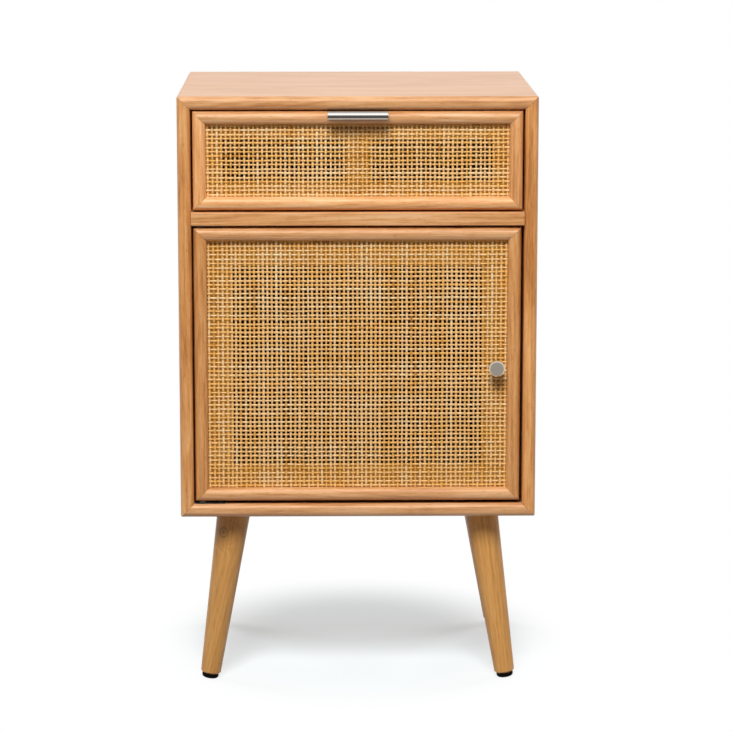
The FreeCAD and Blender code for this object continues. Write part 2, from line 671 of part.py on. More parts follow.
def pivot(end):
    """One end of the door's pivot: plate with its pin, bush in the door, and plate screws."""
    if end == "bottom":
        direction, sign, seat, edge = "+z", "+1", FLOOR_BOARD_TOP, DOOR_BOTTOM
        gap, driven = "dim.door_gap_bottom", "-z"
        plate_z = seat
    else:
        direction, sign, seat, edge = "-z", "-1", DIVIDER_UNDERSIDE, DOOR_TOP
        gap, driven = "dim.door_gap_top", "+z"
        plate_z = f"{seat} - dim.plate_thickness"
    plate_x = f"(dim.plate_start - {BAY_HALF})"
    plate_y = f"({FRONT} + dim.plate_set_back)"
    plate = box(f"pivot_plate_{end}_flat", (plate_x, plate_y, plate_z),
                ("dim.plate_length", "dim.plate_width", "dim.plate_thickness"))
    pin = cylinder(f"pivot_pin_{end}", "dim.pin_radius", f"{gap} + dim.pin_reach",
                   (PIVOT_X, PIVOT_Y, seat), direction)
    screws = []
    for which in ("first", "second"):
        spot = (f"{plate_x} + dim.plate_screw_{which}", f"{plate_y} + dim.plate_screw_across",
                f"{seat} {sign} * dim.plate_thickness")
        screws.append(screw(f"plate_screw_{end}_{which}", "screw", spot, driven))
    plate_and_pin = fuse(f"pivot_plate_{end}_blank", plate, pin)
    node(cut(f"pivot_plate_{end}", plate_and_pin, group(f"plate_screws_{end}", screws)))

    flange_height = f"({gap} - dim.plate_thickness - dim.bush_face_gap)"
    flange_start = (PIVOT_X, PIVOT_Y, f"{edge} - ({sign}) * {flange_height}")
    flange = cylinder(f"bush_flange_{end}", "dim.bush_flange_radius", flange_height, flange_start,
                      direction)
    sleeve = cylinder(f"bush_sleeve_{end}", "dim.bush_radius", "dim.bush_length",
                      (PIVOT_X, PIVOT_Y, edge), direction)
    blank = fuse(f"bush_blank_{end}", flange, sleeve)
    bore = cylinder(f"bush_bore_{end}", "dim.pin_radius + dim.pin_clearance",
                    f"{gap} + dim.bush_length", (PIVOT_X, PIVOT_Y, seat), direction)
    return screws, sleeve, cut(f"pivot_bush_{end}", blank, bore)


def catch():
    """Magnetic catch under the divider: housing, magnet and two screws."""
    middle_x = f"({DOOR_RIGHT} - dim.catch_inset)"
    catch_y = f"({FRAME_BACK} + dim.strike_thickness + dim.catch_gap)"
    low_z = f"({DIVIDER_UNDERSIDE} - dim.catch_height)"
    block = box("catch_block", (f"{middle_x} - dim.catch_length / 2", catch_y, low_z),
                ("dim.catch_length", "dim.catch_depth", "dim.catch_height"))
    ears = box("catch_ears",
               (f"{middle_x} - dim.catch_length / 2 - dim.ear_length", catch_y,
                f"{DIVIDER_UNDERSIDE} - dim.ear_thickness"),
               ("dim.catch_length + 2 * dim.ear_length", "dim.catch_depth", "dim.ear_thickness"))
    magnet = node(box("catch_magnet",
                      (f"{middle_x} - dim.magnet_length / 2", catch_y,
                       f"{low_z} + (dim.catch_height - dim.magnet_height) / 2"),
                      ("dim.magnet_length", "dim.magnet_depth", "dim.magnet_height")))
    screws = []
    for count, sign in enumerate(("-", "+"), start=1):
        x = f"{middle_x} {sign} (dim.catch_length + dim.ear_length) / 2"
        spot = (x, f"{catch_y} + dim.catch_depth / 2", f"{DIVIDER_UNDERSIDE} - dim.ear_thickness")
        screws.append(screw(f"catch_screw_{count}", "screw", spot, "+z"))
    housing = fuse("catch_blank", block, ears)
    node(cut("catch_housing", housing, magnet, group("catch_screws", screws)))
    return screws


def strike():
    """Steel strike plate on the back of the door, with its screw."""
    middle_x = f"({DOOR_RIGHT} - dim.catch_inset)"
    high_z = f"({DOOR_TOP} - dim.strike_edge)"
    plate = box("strike_plate_blank",
                (f"{middle_x} - dim.strike_length / 2", FRAME_BACK,
                 f"{high_z} - dim.strike_height"),
                ("dim.strike_length", "dim.strike_thickness", "dim.strike_height"))
    spot = (middle_x, f"{FRAME_BACK} + dim.strike_thickness",
            f"{high_z} - dim.strike_height / 2")
    fastener = node(screw("strike_screw", "screw", spot, "-y"))
    node(cut("strike_plate", plate, fastener))
    return fastener


def knob():
    """Turned metal knob on the cane, screwed from inside the door."""
    x = f"({DOOR_RIGHT} - dim.knob_inset)"
    z = f"(({DOOR_TOP} + {DOOR_BOTTOM}) / 2 - dim.knob_drop)"
    head_low = "(dim.knob_height - dim.knob_head)"
    blank = turned("knob_blank", [
        ("0", "0"),
        ("dim.knob_base_radius", "0"),
        ("dim.knob_base_radius", "dim.knob_base / 2"),
        ("dim.knob_neck_radius", "dim.knob_base"),
        ("dim.knob_neck_radius", f"{head_low} - dim.knob_chamfer"),
        ("dim.knob_radius - dim.knob_chamfer", head_low),
        ("dim.knob_radius", f"{head_low} + dim.knob_chamfer"),
        ("dim.knob_radius", "dim.knob_height - dim.knob_chamfer"),
        ("dim.knob_radius - dim.knob_chamfer", "dim.knob_height"),
        ("0", "dim.knob_height"),
    ])
    place(blank, x, CANE_FRONT, z, "-y")
    shank = cylinder("knob_screw_shank", "dim.knob_screw_radius",
                     f"{BACKING} + dim.cane_thickness + dim.knob_screw_grip", (x, FRAME_BACK, z),
                     "-y")
    head = cylinder("knob_screw_head", "dim.knob_screw_head_radius", "dim.knob_screw_head",
                    (x, FRAME_BACK, z), "+y")
    fastener = node(fuse("knob_screw", shank, head))
    node(cut("door_knob", blank, fastener))
    return fastener


def door():
    """Door: cane front, backing with one window, knob, strike plate and pivot bushes."""
    edges = (DOOR_LEFT, DOOR_RIGHT, DOOR_BOTTOM, DOOR_TOP)
    frame = square_frame("door_frame", *edges, frame_member)
    top_screws, top_sleeve, top_bush = pivot("top")
    bottom_screws, bottom_sleeve, bottom_bush = pivot("bottom")
    node(group("door_pivot_bushes", [top_bush, bottom_bush]))
    strike_screw = strike()
    knob_screw = knob()
    tools = {"top": (top_sleeve, strike_screw), "bottom": (bottom_sleeve,),
             "left": (top_sleeve, bottom_sleeve)}
    for side, cutters in tools.items():
        frame[side].Label = f"door_frame_{side}_blank"
        node(cut(f"door_frame_{side}", frame[side], *cutters))
    node(frame["right"])
    view = (f"{DOOR_LEFT} + dim.frame_face + dim.door_border_side",
            f"{DOOR_RIGHT} - dim.frame_face - dim.door_border_side",
            f"{DOOR_BOTTOM} + dim.frame_face + dim.door_border_bottom",
            f"{DOOR_TOP} - dim.frame_face - dim.door_border_top")
    opening = window("door_window", *view)
    grid = (DOOR_OPENINGS_PER_ROW, DOOR_OPENING_ROWS)
    cane, holes = cane_sheet("door_cane", edges, [view + grid])
    node(cut("door_cane_panel", cane, holes, knob_screw))
    backing = rebate_box("door_backing_blank", *edges, CANE_BACK, BACKING)
    node(cut("door_backing", backing, opening, knob_screw))
    return top_screws + bottom_screws


# ---------------------------------------------------------------- legs
FOOT_Z = ("((dim.foot_radius - dim.foot_round) * sin(dim.splay)"
          " + dim.foot_round * (1 - cos(dim.splay)) - dim.foot_flat)")
LEG_AXIS = f"((dim.leg_height - {FOOT_Z}) / cos(dim.splay))"
FOOT_OUT = f"((dim.leg_height - {FOOT_Z}) * tan(dim.splay))"
LEG_X = f"({HALF} - dim.leg_inset)"


def leg(side, end):
    """Tapered leg with its rubber foot, leaning outwards, and its hanger bolt."""
    name = f"{end}_{side}"
    sign, lean = ("-", "dim.splay") if side == "left" else ("", "-dim.splay")
    y = f"({FRONT} + dim.leg_set_back)" if end == "front" else f"({BACK} - dim.leg_set_back)"
    foot_x = f"{sign}({LEG_X} + {FOOT_OUT})"
    spare = "(2 * dim.leg_top_radius * tan(dim.splay))"
    tall = f"({LEG_AXIS} + {spare})"
    wide = (f"dim.leg_foot_radius + (dim.leg_top_radius - dim.leg_foot_radius)"
            f" * ({tall} - dim.foot_thickness) / ({LEG_AXIS} - dim.foot_thickness)")
    shaft = turned(f"leg_{name}_blank", [
        ("0", "dim.foot_thickness"),
        ("dim.leg_foot_radius - dim.leg_chamfer", "dim.foot_thickness"),
        ("dim.leg_foot_radius", "dim.foot_thickness + dim.leg_chamfer"),
        (wide, tall),
        ("0", tall),
    ])
    pad_blank = turned(f"foot_pad_{name}_blank", [
        ("0", "0"),
        ("dim.foot_radius", "0"),
        ("dim.foot_radius", "dim.foot_thickness"),
        ("dim.spigot_radius", "dim.foot_thickness"),
        ("dim.spigot_radius", "dim.foot_thickness + dim.spigot_length"),
        ("0", "dim.foot_thickness + dim.spigot_length"),
    ])
    rim = pad_blank.Tip
    round_edges(pad_blank, rim, "dim.foot_round",
                lambda edge, middle: abs(middle.z) < 1e-6 and edge.Curve.TypeId == "Part::GeomCircle")
    for thing in (shaft, pad_blank):
        place(thing, foot_x, y, FOOT_Z, "right")
        thing.setExpression("Placement.Rotation.Angle", lean)

    bolt = cylinder(f"leg_bolt_{name}", "dim.bolt_radius", "dim.bolt_in_leg + dim.insert_length",
                    (f"{sign}{LEG_X}", y, "dim.leg_height - dim.bolt_in_leg"))
    insert = cylinder(f"leg_insert_{name}_blank", "dim.insert_radius", "dim.insert_length",
                      (f"{sign}{LEG_X}", y, "dim.leg_height"))
    block = "4 * dim.leg_top_radius"
    above = box(f"leg_{name}_top_cut",
                (f"{sign}{LEG_X} - {block} / 2", f"{y} - {block} / 2", "dim.leg_height"),
                (block, block, block))
    below = box(f"foot_{name}_floor_cut",
                (f"{foot_x} - {block} / 2", f"{y} - {block} / 2", f"-{block}"),
                (block, block, block))
    node(cut(f"leg_{name}", shaft, above, bolt, pad_blank))
    node(cut(f"foot_pad_{name}", pad_blank, below))
    return bolt, insert


# ---------------------------------------------------------------- assembly
def cabinet(root_screws):
    """Boards, lipping, divider, back and the bores that the fasteners need."""
    boards = carcass_boards()
    dowels = divider_dowels()
    bolts, inserts = [], []
    for end in ("front", "back"):
        for side in ("left", "right"):
            bolt, insert = leg(side, end)
            bolts.append(bolt)
            inserts.append(insert)
    leg_bolts = node(group("leg_bolts", bolts))
    insert_blanks = group("leg_insert_blanks", inserts)
    node(cut("leg_inserts", insert_blanks, leg_bolts))
    screws = node(group("cabinet_screws", root_screws + back_screws()))

    node(cut("top_panel", boards["top"], screws))
    node(cut("bottom_panel", boards["bottom"], insert_blanks, screws))
    node(cut("left_side_panel", boards["left"], dowels, screws))
    node(cut("right_side_panel", boards["right"], dowels, screws))

    trims = square_frame("front_trim", f"-{HALF}", HALF, "dim.leg_height", TOP, front_trim)
    for trim in trims.values():
        node(trim)
    node(divider_rail())
    depth = "dim.cabinet_depth - dim.trim_depth - dim.back_thickness"
    divider = box("divider_blank", (f"-{BAY_HALF}", TRIM_BACK, DIVIDER_UNDERSIDE),
                  (f"2 * {BAY_HALF}", depth, "dim.board"))
    node(cut("divider_panel", divider, dowels, screws))
    edge = "(dim.board - dim.back_rebate + dim.back_clearance)"
    back = box("back_blank",
               (f"{edge} - {HALF}", f"{BACK} - dim.back_thickness", f"dim.leg_height + {edge}"),
               (f"dim.cabinet_width - 2 * {edge}", "dim.back_thickness",
                f"dim.box_height - 2 * {edge}"))
    node(cut("back_panel", back, screws))


def build():
    """Build every piece, check it and write it to its own file."""
    left_rail, left_runner = slide("left")
    right_rail, right_runner = slide("right")
    plate_screws = door()
    drawer(left_runner + right_runner)
    cabinet(left_rail + right_rail + plate_screws + catch())
    doc.recompute()

    failed = [thing.Label for thing in doc.Objects
              if "Invalid" in thing.State or "Error" in thing.State]
    if failed:
        raise RuntimeError(f"these objects failed: {failed}")
    for piece in nodes:
        if piece.Shape.isNull() or not piece.Shape.isValid() or not piece.Shape.Solids:
            raise RuntimeError(f"{piece.Label} has no valid solid")
    os.makedirs("parts", exist_ok=True)
    for piece in nodes:
        piece.Shape.exportStep(os.path.join("parts", f"{piece.Label}.step"))
    print(f"{len(nodes)} nodes written")


build()
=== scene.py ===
"""Storage side table with door: cane, wood and metal for the packed parts, and a plain studio."""

import json
import math
import random

import bmesh
import bpy
from bpy.props import FloatProperty, FloatVectorProperty, IntProperty, PointerProperty
from bpy.types import Operator, Panel, PropertyGroup
from mathutils import Matrix, Vector


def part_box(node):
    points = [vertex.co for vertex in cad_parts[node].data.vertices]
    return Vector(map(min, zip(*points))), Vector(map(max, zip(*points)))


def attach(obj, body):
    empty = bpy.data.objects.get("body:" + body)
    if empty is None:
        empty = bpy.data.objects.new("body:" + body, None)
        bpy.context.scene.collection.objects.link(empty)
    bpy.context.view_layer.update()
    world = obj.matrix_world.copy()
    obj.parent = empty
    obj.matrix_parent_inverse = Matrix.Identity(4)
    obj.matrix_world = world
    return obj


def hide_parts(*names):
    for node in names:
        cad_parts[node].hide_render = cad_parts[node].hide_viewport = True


bl_info = {
    "name": "Storage Side Table With Door",
    "version": (1, 0, 0),
    "blender": (4, 5, 0),
    "location": "View3D > Sidebar > Side Table",
    "description": "Weaves the cane, finishes the wood and metal, and sets the studio",
    "category": "Add Mesh",
}

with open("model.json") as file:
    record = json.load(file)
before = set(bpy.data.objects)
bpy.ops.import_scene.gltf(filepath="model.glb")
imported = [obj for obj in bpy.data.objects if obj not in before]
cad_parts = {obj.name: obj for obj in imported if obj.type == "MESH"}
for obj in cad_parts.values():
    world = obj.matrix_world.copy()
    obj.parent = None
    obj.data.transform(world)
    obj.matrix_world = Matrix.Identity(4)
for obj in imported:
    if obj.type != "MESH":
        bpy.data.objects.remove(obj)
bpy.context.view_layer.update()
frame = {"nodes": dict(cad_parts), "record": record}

RIGHT_ANGLE = math.pi / 2

# turns that bring the grain of a board onto X
ALONG_WIDTH = (0.0, 0.0, 0.0)
ALONG_DEPTH = (0.0, 0.0, RIGHT_ANGLE)
ALONG_HEIGHT = (0.0, RIGHT_ANGLE, 0.0)

# layers of the grain: how long and how wide its marks are, in metres, and how many levels of detail
FIGURE_WIDTH = 0.060
GRAIN = (
    ("figure", 0.900, FIGURE_WIDTH, 1.0),  # slow bend of the growth rings
    ("cloud", 0.180, 0.024, 2.0),  # drift of colour along a board
    ("streak", 0.085, 0.0026, 3.0),  # bundles of fibres, drawn about twice too coarse so that they show
    ("fibre", 0.016, 0.0013, 2.0),  # single vessels, drawn five times too coarse so that they show
    ("pore", 0.007, 0.0009, 1.0),  # short dark flecks of cut vessels
)
FIGURE_SWING = 0.45  # how far the figure layer goes up and down over its width
# how much the growth rings and the other layers move the tone between dark and pale
RING_SHARE = 0.09
TONE_SHARES = (("cloud", 0.8), ("streak", 0.95), ("fibre", 0.65))
TONE_START = -0.7  # brings the sum of the shares back to the middle
# a knot from its middle outwards: dark heart, paler body, dark ring of bark, and out
KNOT_RINGS = (
    (0.12, (0.9, 0.9, 0.9)), (0.34, (0.15, 0.15, 0.15)), (0.6, (0.2, 0.2, 0.2)),
    (0.74, (0.75, 0.75, 0.75)), (1.0, (0.0, 0.0, 0.0)),
)

# a strand is cut in steps from one crossing to the next, and has this height at each, over and then under
STEPS = 4
HEIGHTS = {1: 0.74, 2: 1.0, 3: 0.74, 5: -0.74, 6: -1.0, 7: -0.74}

SIDES = ("left", "right", "bottom", "top")
LEG_LEAN = 8.45  # degrees from upright, as the legs stand
KEY_PLACE = (-0.25, -2.95, 3.35)  # of the key lamp and its softbox


# Colours and nodes


def linear(code):
    """Turns an sRGB hex code such as "#D9A06A" into linear red, green and blue."""
    parts = [int(code[i : i + 2], 16) / 255 for i in (1, 3, 5)]
    return tuple(c / 12.92 if c <= 0.04045 else ((c + 0.055) / 1.055) ** 2.4 for c in parts)


def add(tree, kind, inputs=None, stops=(), **settings):
    """Adds a shader node with its settings. An input is a value, or a node or socket to link from."""
    made = tree.nodes.new("ShaderNode" + kind)
    for name, value in settings.items():
        setattr(made, name, value)
    for index, (position, shade) in enumerate(stops):
        points = made.color_ramp.elements
        point = points[index] if index < len(points) else points.new(position)
        point.position = position
        point.color = (*shade, 1.0)
    for name, value in (inputs or {}).items():
        sockets = [s for s in made.inputs if s.enabled]
        socket = sockets[name] if isinstance(name, int) else next(s for s in sockets if s.name == name)
        if isinstance(value, bpy.types.Node):
            value = next(s for s in value.outputs if s.enabled)
        if isinstance(value, bpy.types.NodeSocket):
            tree.links.new(value, socket)
        elif socket.type == "RGBA":
            socket.default_value = (*value, 1.0)
        else:
            socket.default_value = value
    return made


def new_material(name):
    """Adds a material with an empty node tree."""
    made = bpy.data.materials.new(name)
    made.use_nodes = True
    made.node_tree.nodes.clear()
    return made


def seen_rays(tree):
    """Gives 1 for rays from the camera, off gloss and through glass, which meet the surroundings as seen."""
    rays = add(tree, "LightPath").outputs
    seen = add(tree, "Math", {0: rays["Is Camera Ray"], 1: rays["Is Glossy Ray"]}, operation="MAXIMUM")
    return add(tree, "Math", {0: seen, 1: rays["Is Transmission Ray"]}, operation="MAXIMUM")


def finish_nodes(*names, material):
    """Puts a material in the slots of CAD nodes."""
    for name in names:
        for slot in frame["nodes"][name].material_slots:
            slot.link = "OBJECT"
            slot.material = material


# Sizes and colours


def colour(name, code, description):
    """Makes a colour property with its default as a hex code."""
    return FloatVectorProperty(
        name=name, description=description, default=linear(code), subtype="COLOR", size=3, min=0, max=1,
    )


class CaneSettings(PropertyGroup):
    """Sizes and colours of the woven cane"""

    upright_spacing: FloatProperty(
        name="Upright Spacing", description="From the middle of one upright strand to the next",
        default=0.0050, min=0.003, max=0.02, unit="LENGTH", precision=4,
    )
    level_spacing: FloatProperty(
        name="Level Spacing", description="From the middle of one level strand to the next",
        default=0.00487, min=0.003, max=0.02, unit="LENGTH", precision=4,
    )
    upright_width: FloatProperty(
        name="Upright Strand Width", description="Width of one split strand that runs upright",
        default=0.0022, min=0.001, max=0.01, unit="LENGTH", precision=4,
    )
    level_width: FloatProperty(
        name="Level Strand Width", description="Width of one split strand that runs level",
        default=0.0021, min=0.001, max=0.01, unit="LENGTH", precision=4,
    )
    wander: FloatProperty(
        name="Wander", description="How far a strand strays from its straight line",
        default=0.0009, min=0.0, max=0.003, unit="LENGTH", precision=4,
    )
    seed: IntProperty(name="Seed", description="Picks another hand-made arrangement", default=11, min=0)
    brown: colour("Brown Cane", "#BE7A2E", "Scorched and stained stretches of a strand")
    gold: colour("Golden Cane", "#F6BB61", "Ripe skin of the cane")
    peach: colour("Peach Cane", "#FCD093", "Freshly split cane")
    pale: colour("Pale Cane", "#FFE8B9", "Palest skin of the cane")
    # painted shade, with some dirt: the colour that darkens a strand where it dips under the next
    shadow: colour("Dipped Cane", "#9C4E02", "Cane where it dips under the next strand")


class WoodSettings(PropertyGroup):
    """Grain and colours of the wood"""

    ring: FloatProperty(
        name="Growth Ring", description="Width of one growth ring across a board",
        default=0.0045, min=0.001, max=0.02, unit="LENGTH", precision=4,
    )
    front_dark: colour("Front Dark", "#B97A43", "Darkest grain of the front mouldings")
    front_warm: colour("Front Warm", "#E0A267", "Main colour of the front mouldings")
    front_pale: colour("Front Pale", "#F0BE8C", "Palest grain of the front mouldings")
    upright_dark: colour("Upright Dark", "#A96A31", "Darkest grain of the upright mouldings")
    upright_warm: colour("Upright Warm", "#D59454", "Main colour of the upright mouldings")
    upright_pale: colour("Upright Pale", "#E9B379", "Palest grain of the upright mouldings")
    # painted sheen: the top's colours are the beech drawn paler and pinker than the other boards'
    veneer_dark: colour("Veneer Dark", "#BB8A64", "Darkest grain of the top's veneer")
    veneer_warm: colour("Veneer Warm", "#CA9B74", "Main colour of the top's veneer")
    veneer_pale: colour("Veneer Pale", "#D8AE8A", "Palest grain of the top's veneer")
    side_dark: colour("Side Dark", "#B98050", "Darkest grain of the other veneered boards")
    side_warm: colour("Side Warm", "#D19B69", "Main colour of the other veneered boards")
    side_pale: colour("Side Pale", "#E1B284", "Palest grain of the other veneered boards")
    leg_dark: colour("Leg Dark", "#B27C3E", "Darkest grain of the legs")
    leg_warm: colour("Leg Warm", "#D09652", "Main colour of the legs")
    leg_pale: colour("Leg Pale", "#DCA865", "Palest grain of the legs")
    ply_dark: colour("Plywood Dark", "#7E4C08", "Darkest grain of the plywood")
    ply_warm: colour("Plywood Warm", "#9A640F", "Main colour of the plywood")
    ply_pale: colour("Plywood Pale", "#B07C1E", "Palest grain of the plywood")
    # painted shade: near black for the back, the drawer's bottom and the compartment's floor, so that only
    # darkness shows through the cane
    painted_shade_dark: colour("Painted Shade Dark", "#140700", "Darkest grain of the stained plywood")
    painted_shade_warm: colour("Painted Shade Warm", "#1F0C03", "Main colour of the stained plywood")
    painted_shade_pale: colour("Painted Shade Pale", "#2C1508", "Palest grain of the stained plywood")
    pine_dark: colour("Pine Dark", "#C79A63", "Latewood of the drawer's boards")
    pine_warm: colour("Pine Warm", "#DDB884", "Main colour of the drawer's boards")
    pine_pale: colour("Pine Pale", "#E9CB9D", "Earlywood of the drawer's boards")


class MetalSettings(PropertyGroup):
    """Colours of the metal, rubber and plastic"""

    nickel: colour("Turned Nickel", "#BFB7AB", "Door knob")
    pull: colour("Brushed Nickel", "#BBB7B3", "Drawer pull")
    # painted shade: kept black also so that the gap under the door stays dark
    powder: colour("Black Powder Coat", "#121110", "Pivot plates of the door")
    zinc: colour("Zinc Plate", "#B9BDC2", "Screws and plates")
    # painted shade: kept black also so that the gap beside the drawer stays dark
    black_zinc_and_shade: colour("Black Zinc Plate", "#1C1A19", "Slides of the drawer")
    bearing: colour("Bearing Steel", "#D0D2D6", "Balls of the slides")
    rubber: colour("Rubber", "#070707", "Feet")
    nylon: colour("Nylon", "#2B2622", "Catch and bushes, dyed dark brown")
    ferrite: colour("Ferrite", "#2A2A2C", "Magnet of the catch")


class StudioSettings(PropertyGroup):
    """Lamps, floor and camera"""

    floor: colour("Floor", "#C9D3D7", "Pale cool floor, before its own glow is added")
    bounce: colour("Bounce", "#88806F", "What the floor throws back onto the object")
    room: colour("Room", "#FFF0DC", "Colour of the room's soft light, a little warm")
    card: colour("Dark Card", "#6A6662", "Felt card on the floor in front, which only reflections show")
    key_power: FloatProperty(
        name="Key Lamp", description="Power of the lamp above the front",
        default=169.0, min=0, unit="POWER",
    )
    side_power: FloatProperty(
        name="Side Lamps", description="Power of each lamp beside and behind the object",
        default=23.0, min=0, unit="POWER",
    )
    top_power: FloatProperty(
        name="Top Lamp", description="Power of the lamp overhead",
        default=3.5, min=0, unit="POWER",
    )
    softbox: FloatProperty(
        name="Softbox Glow", description="How bright the key lamp's softbox is in reflections",
        default=3.0, min=0, max=10,
    )
    ambient: FloatProperty(
        name="Ambient", description="Strength of the room's soft light",
        default=0.09, min=0, max=2,
    )
    glow: FloatProperty(
        name="Floor Glow", description="Light that the floor adds of its own where it is seen",
        default=0.335, min=0, max=1,
    )
    lens: FloatProperty(
        name="Lens", description="Focal length on a 36 mm sensor",
        default=147.87, min=20, unit="CAMERA",
    )
    eye: FloatVectorProperty(
        name="Camera Place", description="Where the camera stands",
        default=(-0.0375, -3.4696, 0.9734), subtype="TRANSLATION", unit="LENGTH",
    )
    tilt: FloatProperty(
        name="Camera Tilt", description="How far the camera looks down",
        default=math.radians(10.274), unit="ROTATION",
    )
    turn: FloatProperty(
        name="Camera Turn", description="How far the camera looks to the left",
        default=math.radians(-0.8047), unit="ROTATION",
    )


# Woods and metals


def grow_knots(tree, place, figure, knots):
    """Bends the figure round each knot, and gives it back with how near and how dark each knot is."""
    marks = []
    for centre, radius in knots:
        away = add(tree, "VectorMath", {0: place, 1: centre}, operation="SUBTRACT")
        # a knot is longer along the leg than across it
        flat = add(tree, "VectorMath", {0: away, 1: (1.0, 0.0, 0.75)}, operation="MULTIPLY")
        distance = add(tree, "VectorMath", {0: flat}, operation="LENGTH")
        square = add(tree, "Math", {0: distance, 1: distance}, operation="MULTIPLY")
        # the rings bend round it out to some 2.5 times its radius
        fall = add(tree, "Math", {0: square, 1: -0.16 / radius**2}, operation="MULTIPLY")
        swell = add(tree, "Math", {0: fall}, operation="EXPONENT")
        figure = add(tree, "Math", {0: swell, 1: 0.25, 2: figure}, operation="MULTIPLY_ADD")
        reach = add(tree, "Math", {0: distance, 1: 1 / (1.3 * radius)}, operation="MULTIPLY")
        heart = add(tree, "ValToRGB", {"Fac": reach}, stops=KNOT_RINGS)
        marks.append((swell, heart.outputs["Color"]))
    return figure, marks


def glue_lines(tree, place, look, mitre, glue):
    """Draws the glue lines of a frame's four mitres, which start at its corners."""
    x, z, half_width, half_height = mitre
    centred = add(tree, "VectorMath", {0: place, 1: (x, 0, z)}, operation="SUBTRACT")
    folded = add(tree, "VectorMath", {0: centred}, operation="ABSOLUTE")
    across = add(tree, "VectorMath", {0: folded, 1: (-1, 0, 1)}, operation="DOT_PRODUCT")
    gap = add(tree, "Math", {0: across, 1: half_width - half_height}, operation="ADD")
    gap = add(tree, "Math", {0: gap}, operation="ABSOLUTE")
    # the line is some 1 mm wide with its soft edges
    line = add(tree, "MapRange", {"Value": gap, "From Min": 0.0002, "From Max": 0.0007,
                                  "To Min": 0.45, "To Max": 0.0})
    return add(tree, "Mix", {"Factor": line, "A": look, "B": glue}, data_type="RGBA")


def wood(name, colours, turn, shift, ring, pores=0.5, coat=0.7, mitre=None, knots=(), painted_shade_above=None):
    """Builds wood whose grain runs along one line.

    shift is how far off in the tree the piece was cut, ring is the width of a growth ring, pores and coat
    are how much dark fleck and how much varnish there is, mitre is (centre x, centre z, half width, half
    height) of a frame whose mitres show as thin lines, knots are (centre, radius), and painted_shade_above
    is (height, colour) above which the faces are drawn dark as painted shade.
    """
    material = new_material(name)
    tree = material.node_tree
    dark, warm, pale = colours
    deep = tuple(c * 0.45 for c in dark)  # vessels, hearts of knots and glue
    place = add(tree, "TexCoord").outputs["Object"]
    away = (shift, shift * 0.61, shift * 0.37)
    plank = add(tree, "Mapping", {"Vector": place, "Location": away, "Rotation": turn})
    layers = {}
    for layer, along, across, detail in GRAIN:
        density = (1 / along, 1 / across, 1 / across)
        size = add(tree, "VectorMath", {0: plank, 1: density}, operation="MULTIPLY")
        noise = add(tree, "TexNoise", {"Vector": size, "Scale": 1.0, "Detail": detail})
        layers[layer] = noise.outputs["Fac"]
    figure, marks = grow_knots(tree, place, layers["figure"], knots)
    turns = 2 * math.pi * FIGURE_WIDTH / ring / FIGURE_SWING
    cycles = add(tree, "Math", {0: figure, 1: turns}, operation="MULTIPLY")
    rings = add(tree, "Math", {0: cycles}, operation="SINE")
    tone = add(tree, "Math", {0: rings, 1: RING_SHARE, 2: TONE_START}, operation="MULTIPLY_ADD")
    for layer, share in TONE_SHARES:
        tone = add(tree, "Math", {0: layers[layer], 1: share, 2: tone}, operation="MULTIPLY_ADD")
    grain = add(tree, "ValToRGB", {"Fac": tone}, stops=((0.12, dark), (0.5, warm), (0.9, pale)))
    fleck = add(tree, "MapRange", {"Value": layers["pore"], "From Min": 0.66, "From Max": 0.76,
                                   "To Min": 0.0, "To Max": pores}, interpolation_type="SMOOTHSTEP")
    look = add(tree, "Mix", {"Factor": fleck, "A": grain.outputs["Color"], "B": deep}, data_type="RGBA")
    for swell, heart in marks:
        # the wood darkens towards a knot
        shade = add(tree, "Math", {0: swell, 1: 0.3}, operation="MULTIPLY")
        body = tuple(c * 0.5 for c in dark)
        look = add(tree, "Mix", {"Factor": shade, "A": look, "B": body}, data_type="RGBA")
        look = add(tree, "Mix", {"Factor": heart, "A": look, "B": deep}, data_type="RGBA")
    if mitre:
        look = glue_lines(tree, place, look, mitre, deep)
    # painted shade: above the given height the faces are drawn nearly black
    if painted_shade_above:
        level, shade_colour = painted_shade_above
        parts = add(tree, "SeparateXYZ", {0: place})
        inner = add(tree, "Math", {0: parts.outputs["Z"], 1: level}, operation="GREATER_THAN")
        # the grain still shows a little through the painted shade
        dyed = add(tree, "Mix", {"Factor": 0.15, "A": shade_colour, "B": look}, data_type="RGBA")
        look = add(tree, "Mix", {"Factor": inner, "A": look, "B": dyed}, data_type="RGBA")
    # the grain stands up a little, and the vessels are cut into it
    height = add(tree, "Math", {0: layers["fibre"], 1: layers["streak"]}, operation="ADD")
    height = add(tree, "Math", {0: fleck, 1: -1.5, 2: height}, operation="MULTIPLY_ADD")
    relief = add(tree, "Bump", {"Strength": 0.35, "Distance": 0.00008, "Height": height})
    sheen = add(tree, "MapRange", {"Value": layers["streak"], "To Min": 0.36, "To Max": 0.56})
    # under varnish the wood itself has no gloss, and bare wood has all of it
    shader = add(tree, "BsdfPrincipled", {
        "Base Color": look, "Roughness": sheen, "IOR": 1.5, "Specular IOR Level": 0.5 * (1 - coat),
        "Normal": relief, "Coat Weight": coat, "Coat Roughness": 0.32, "Coat IOR": 1.75,
    })
    add(tree, "OutputMaterial", {"Surface": shader})
    return material


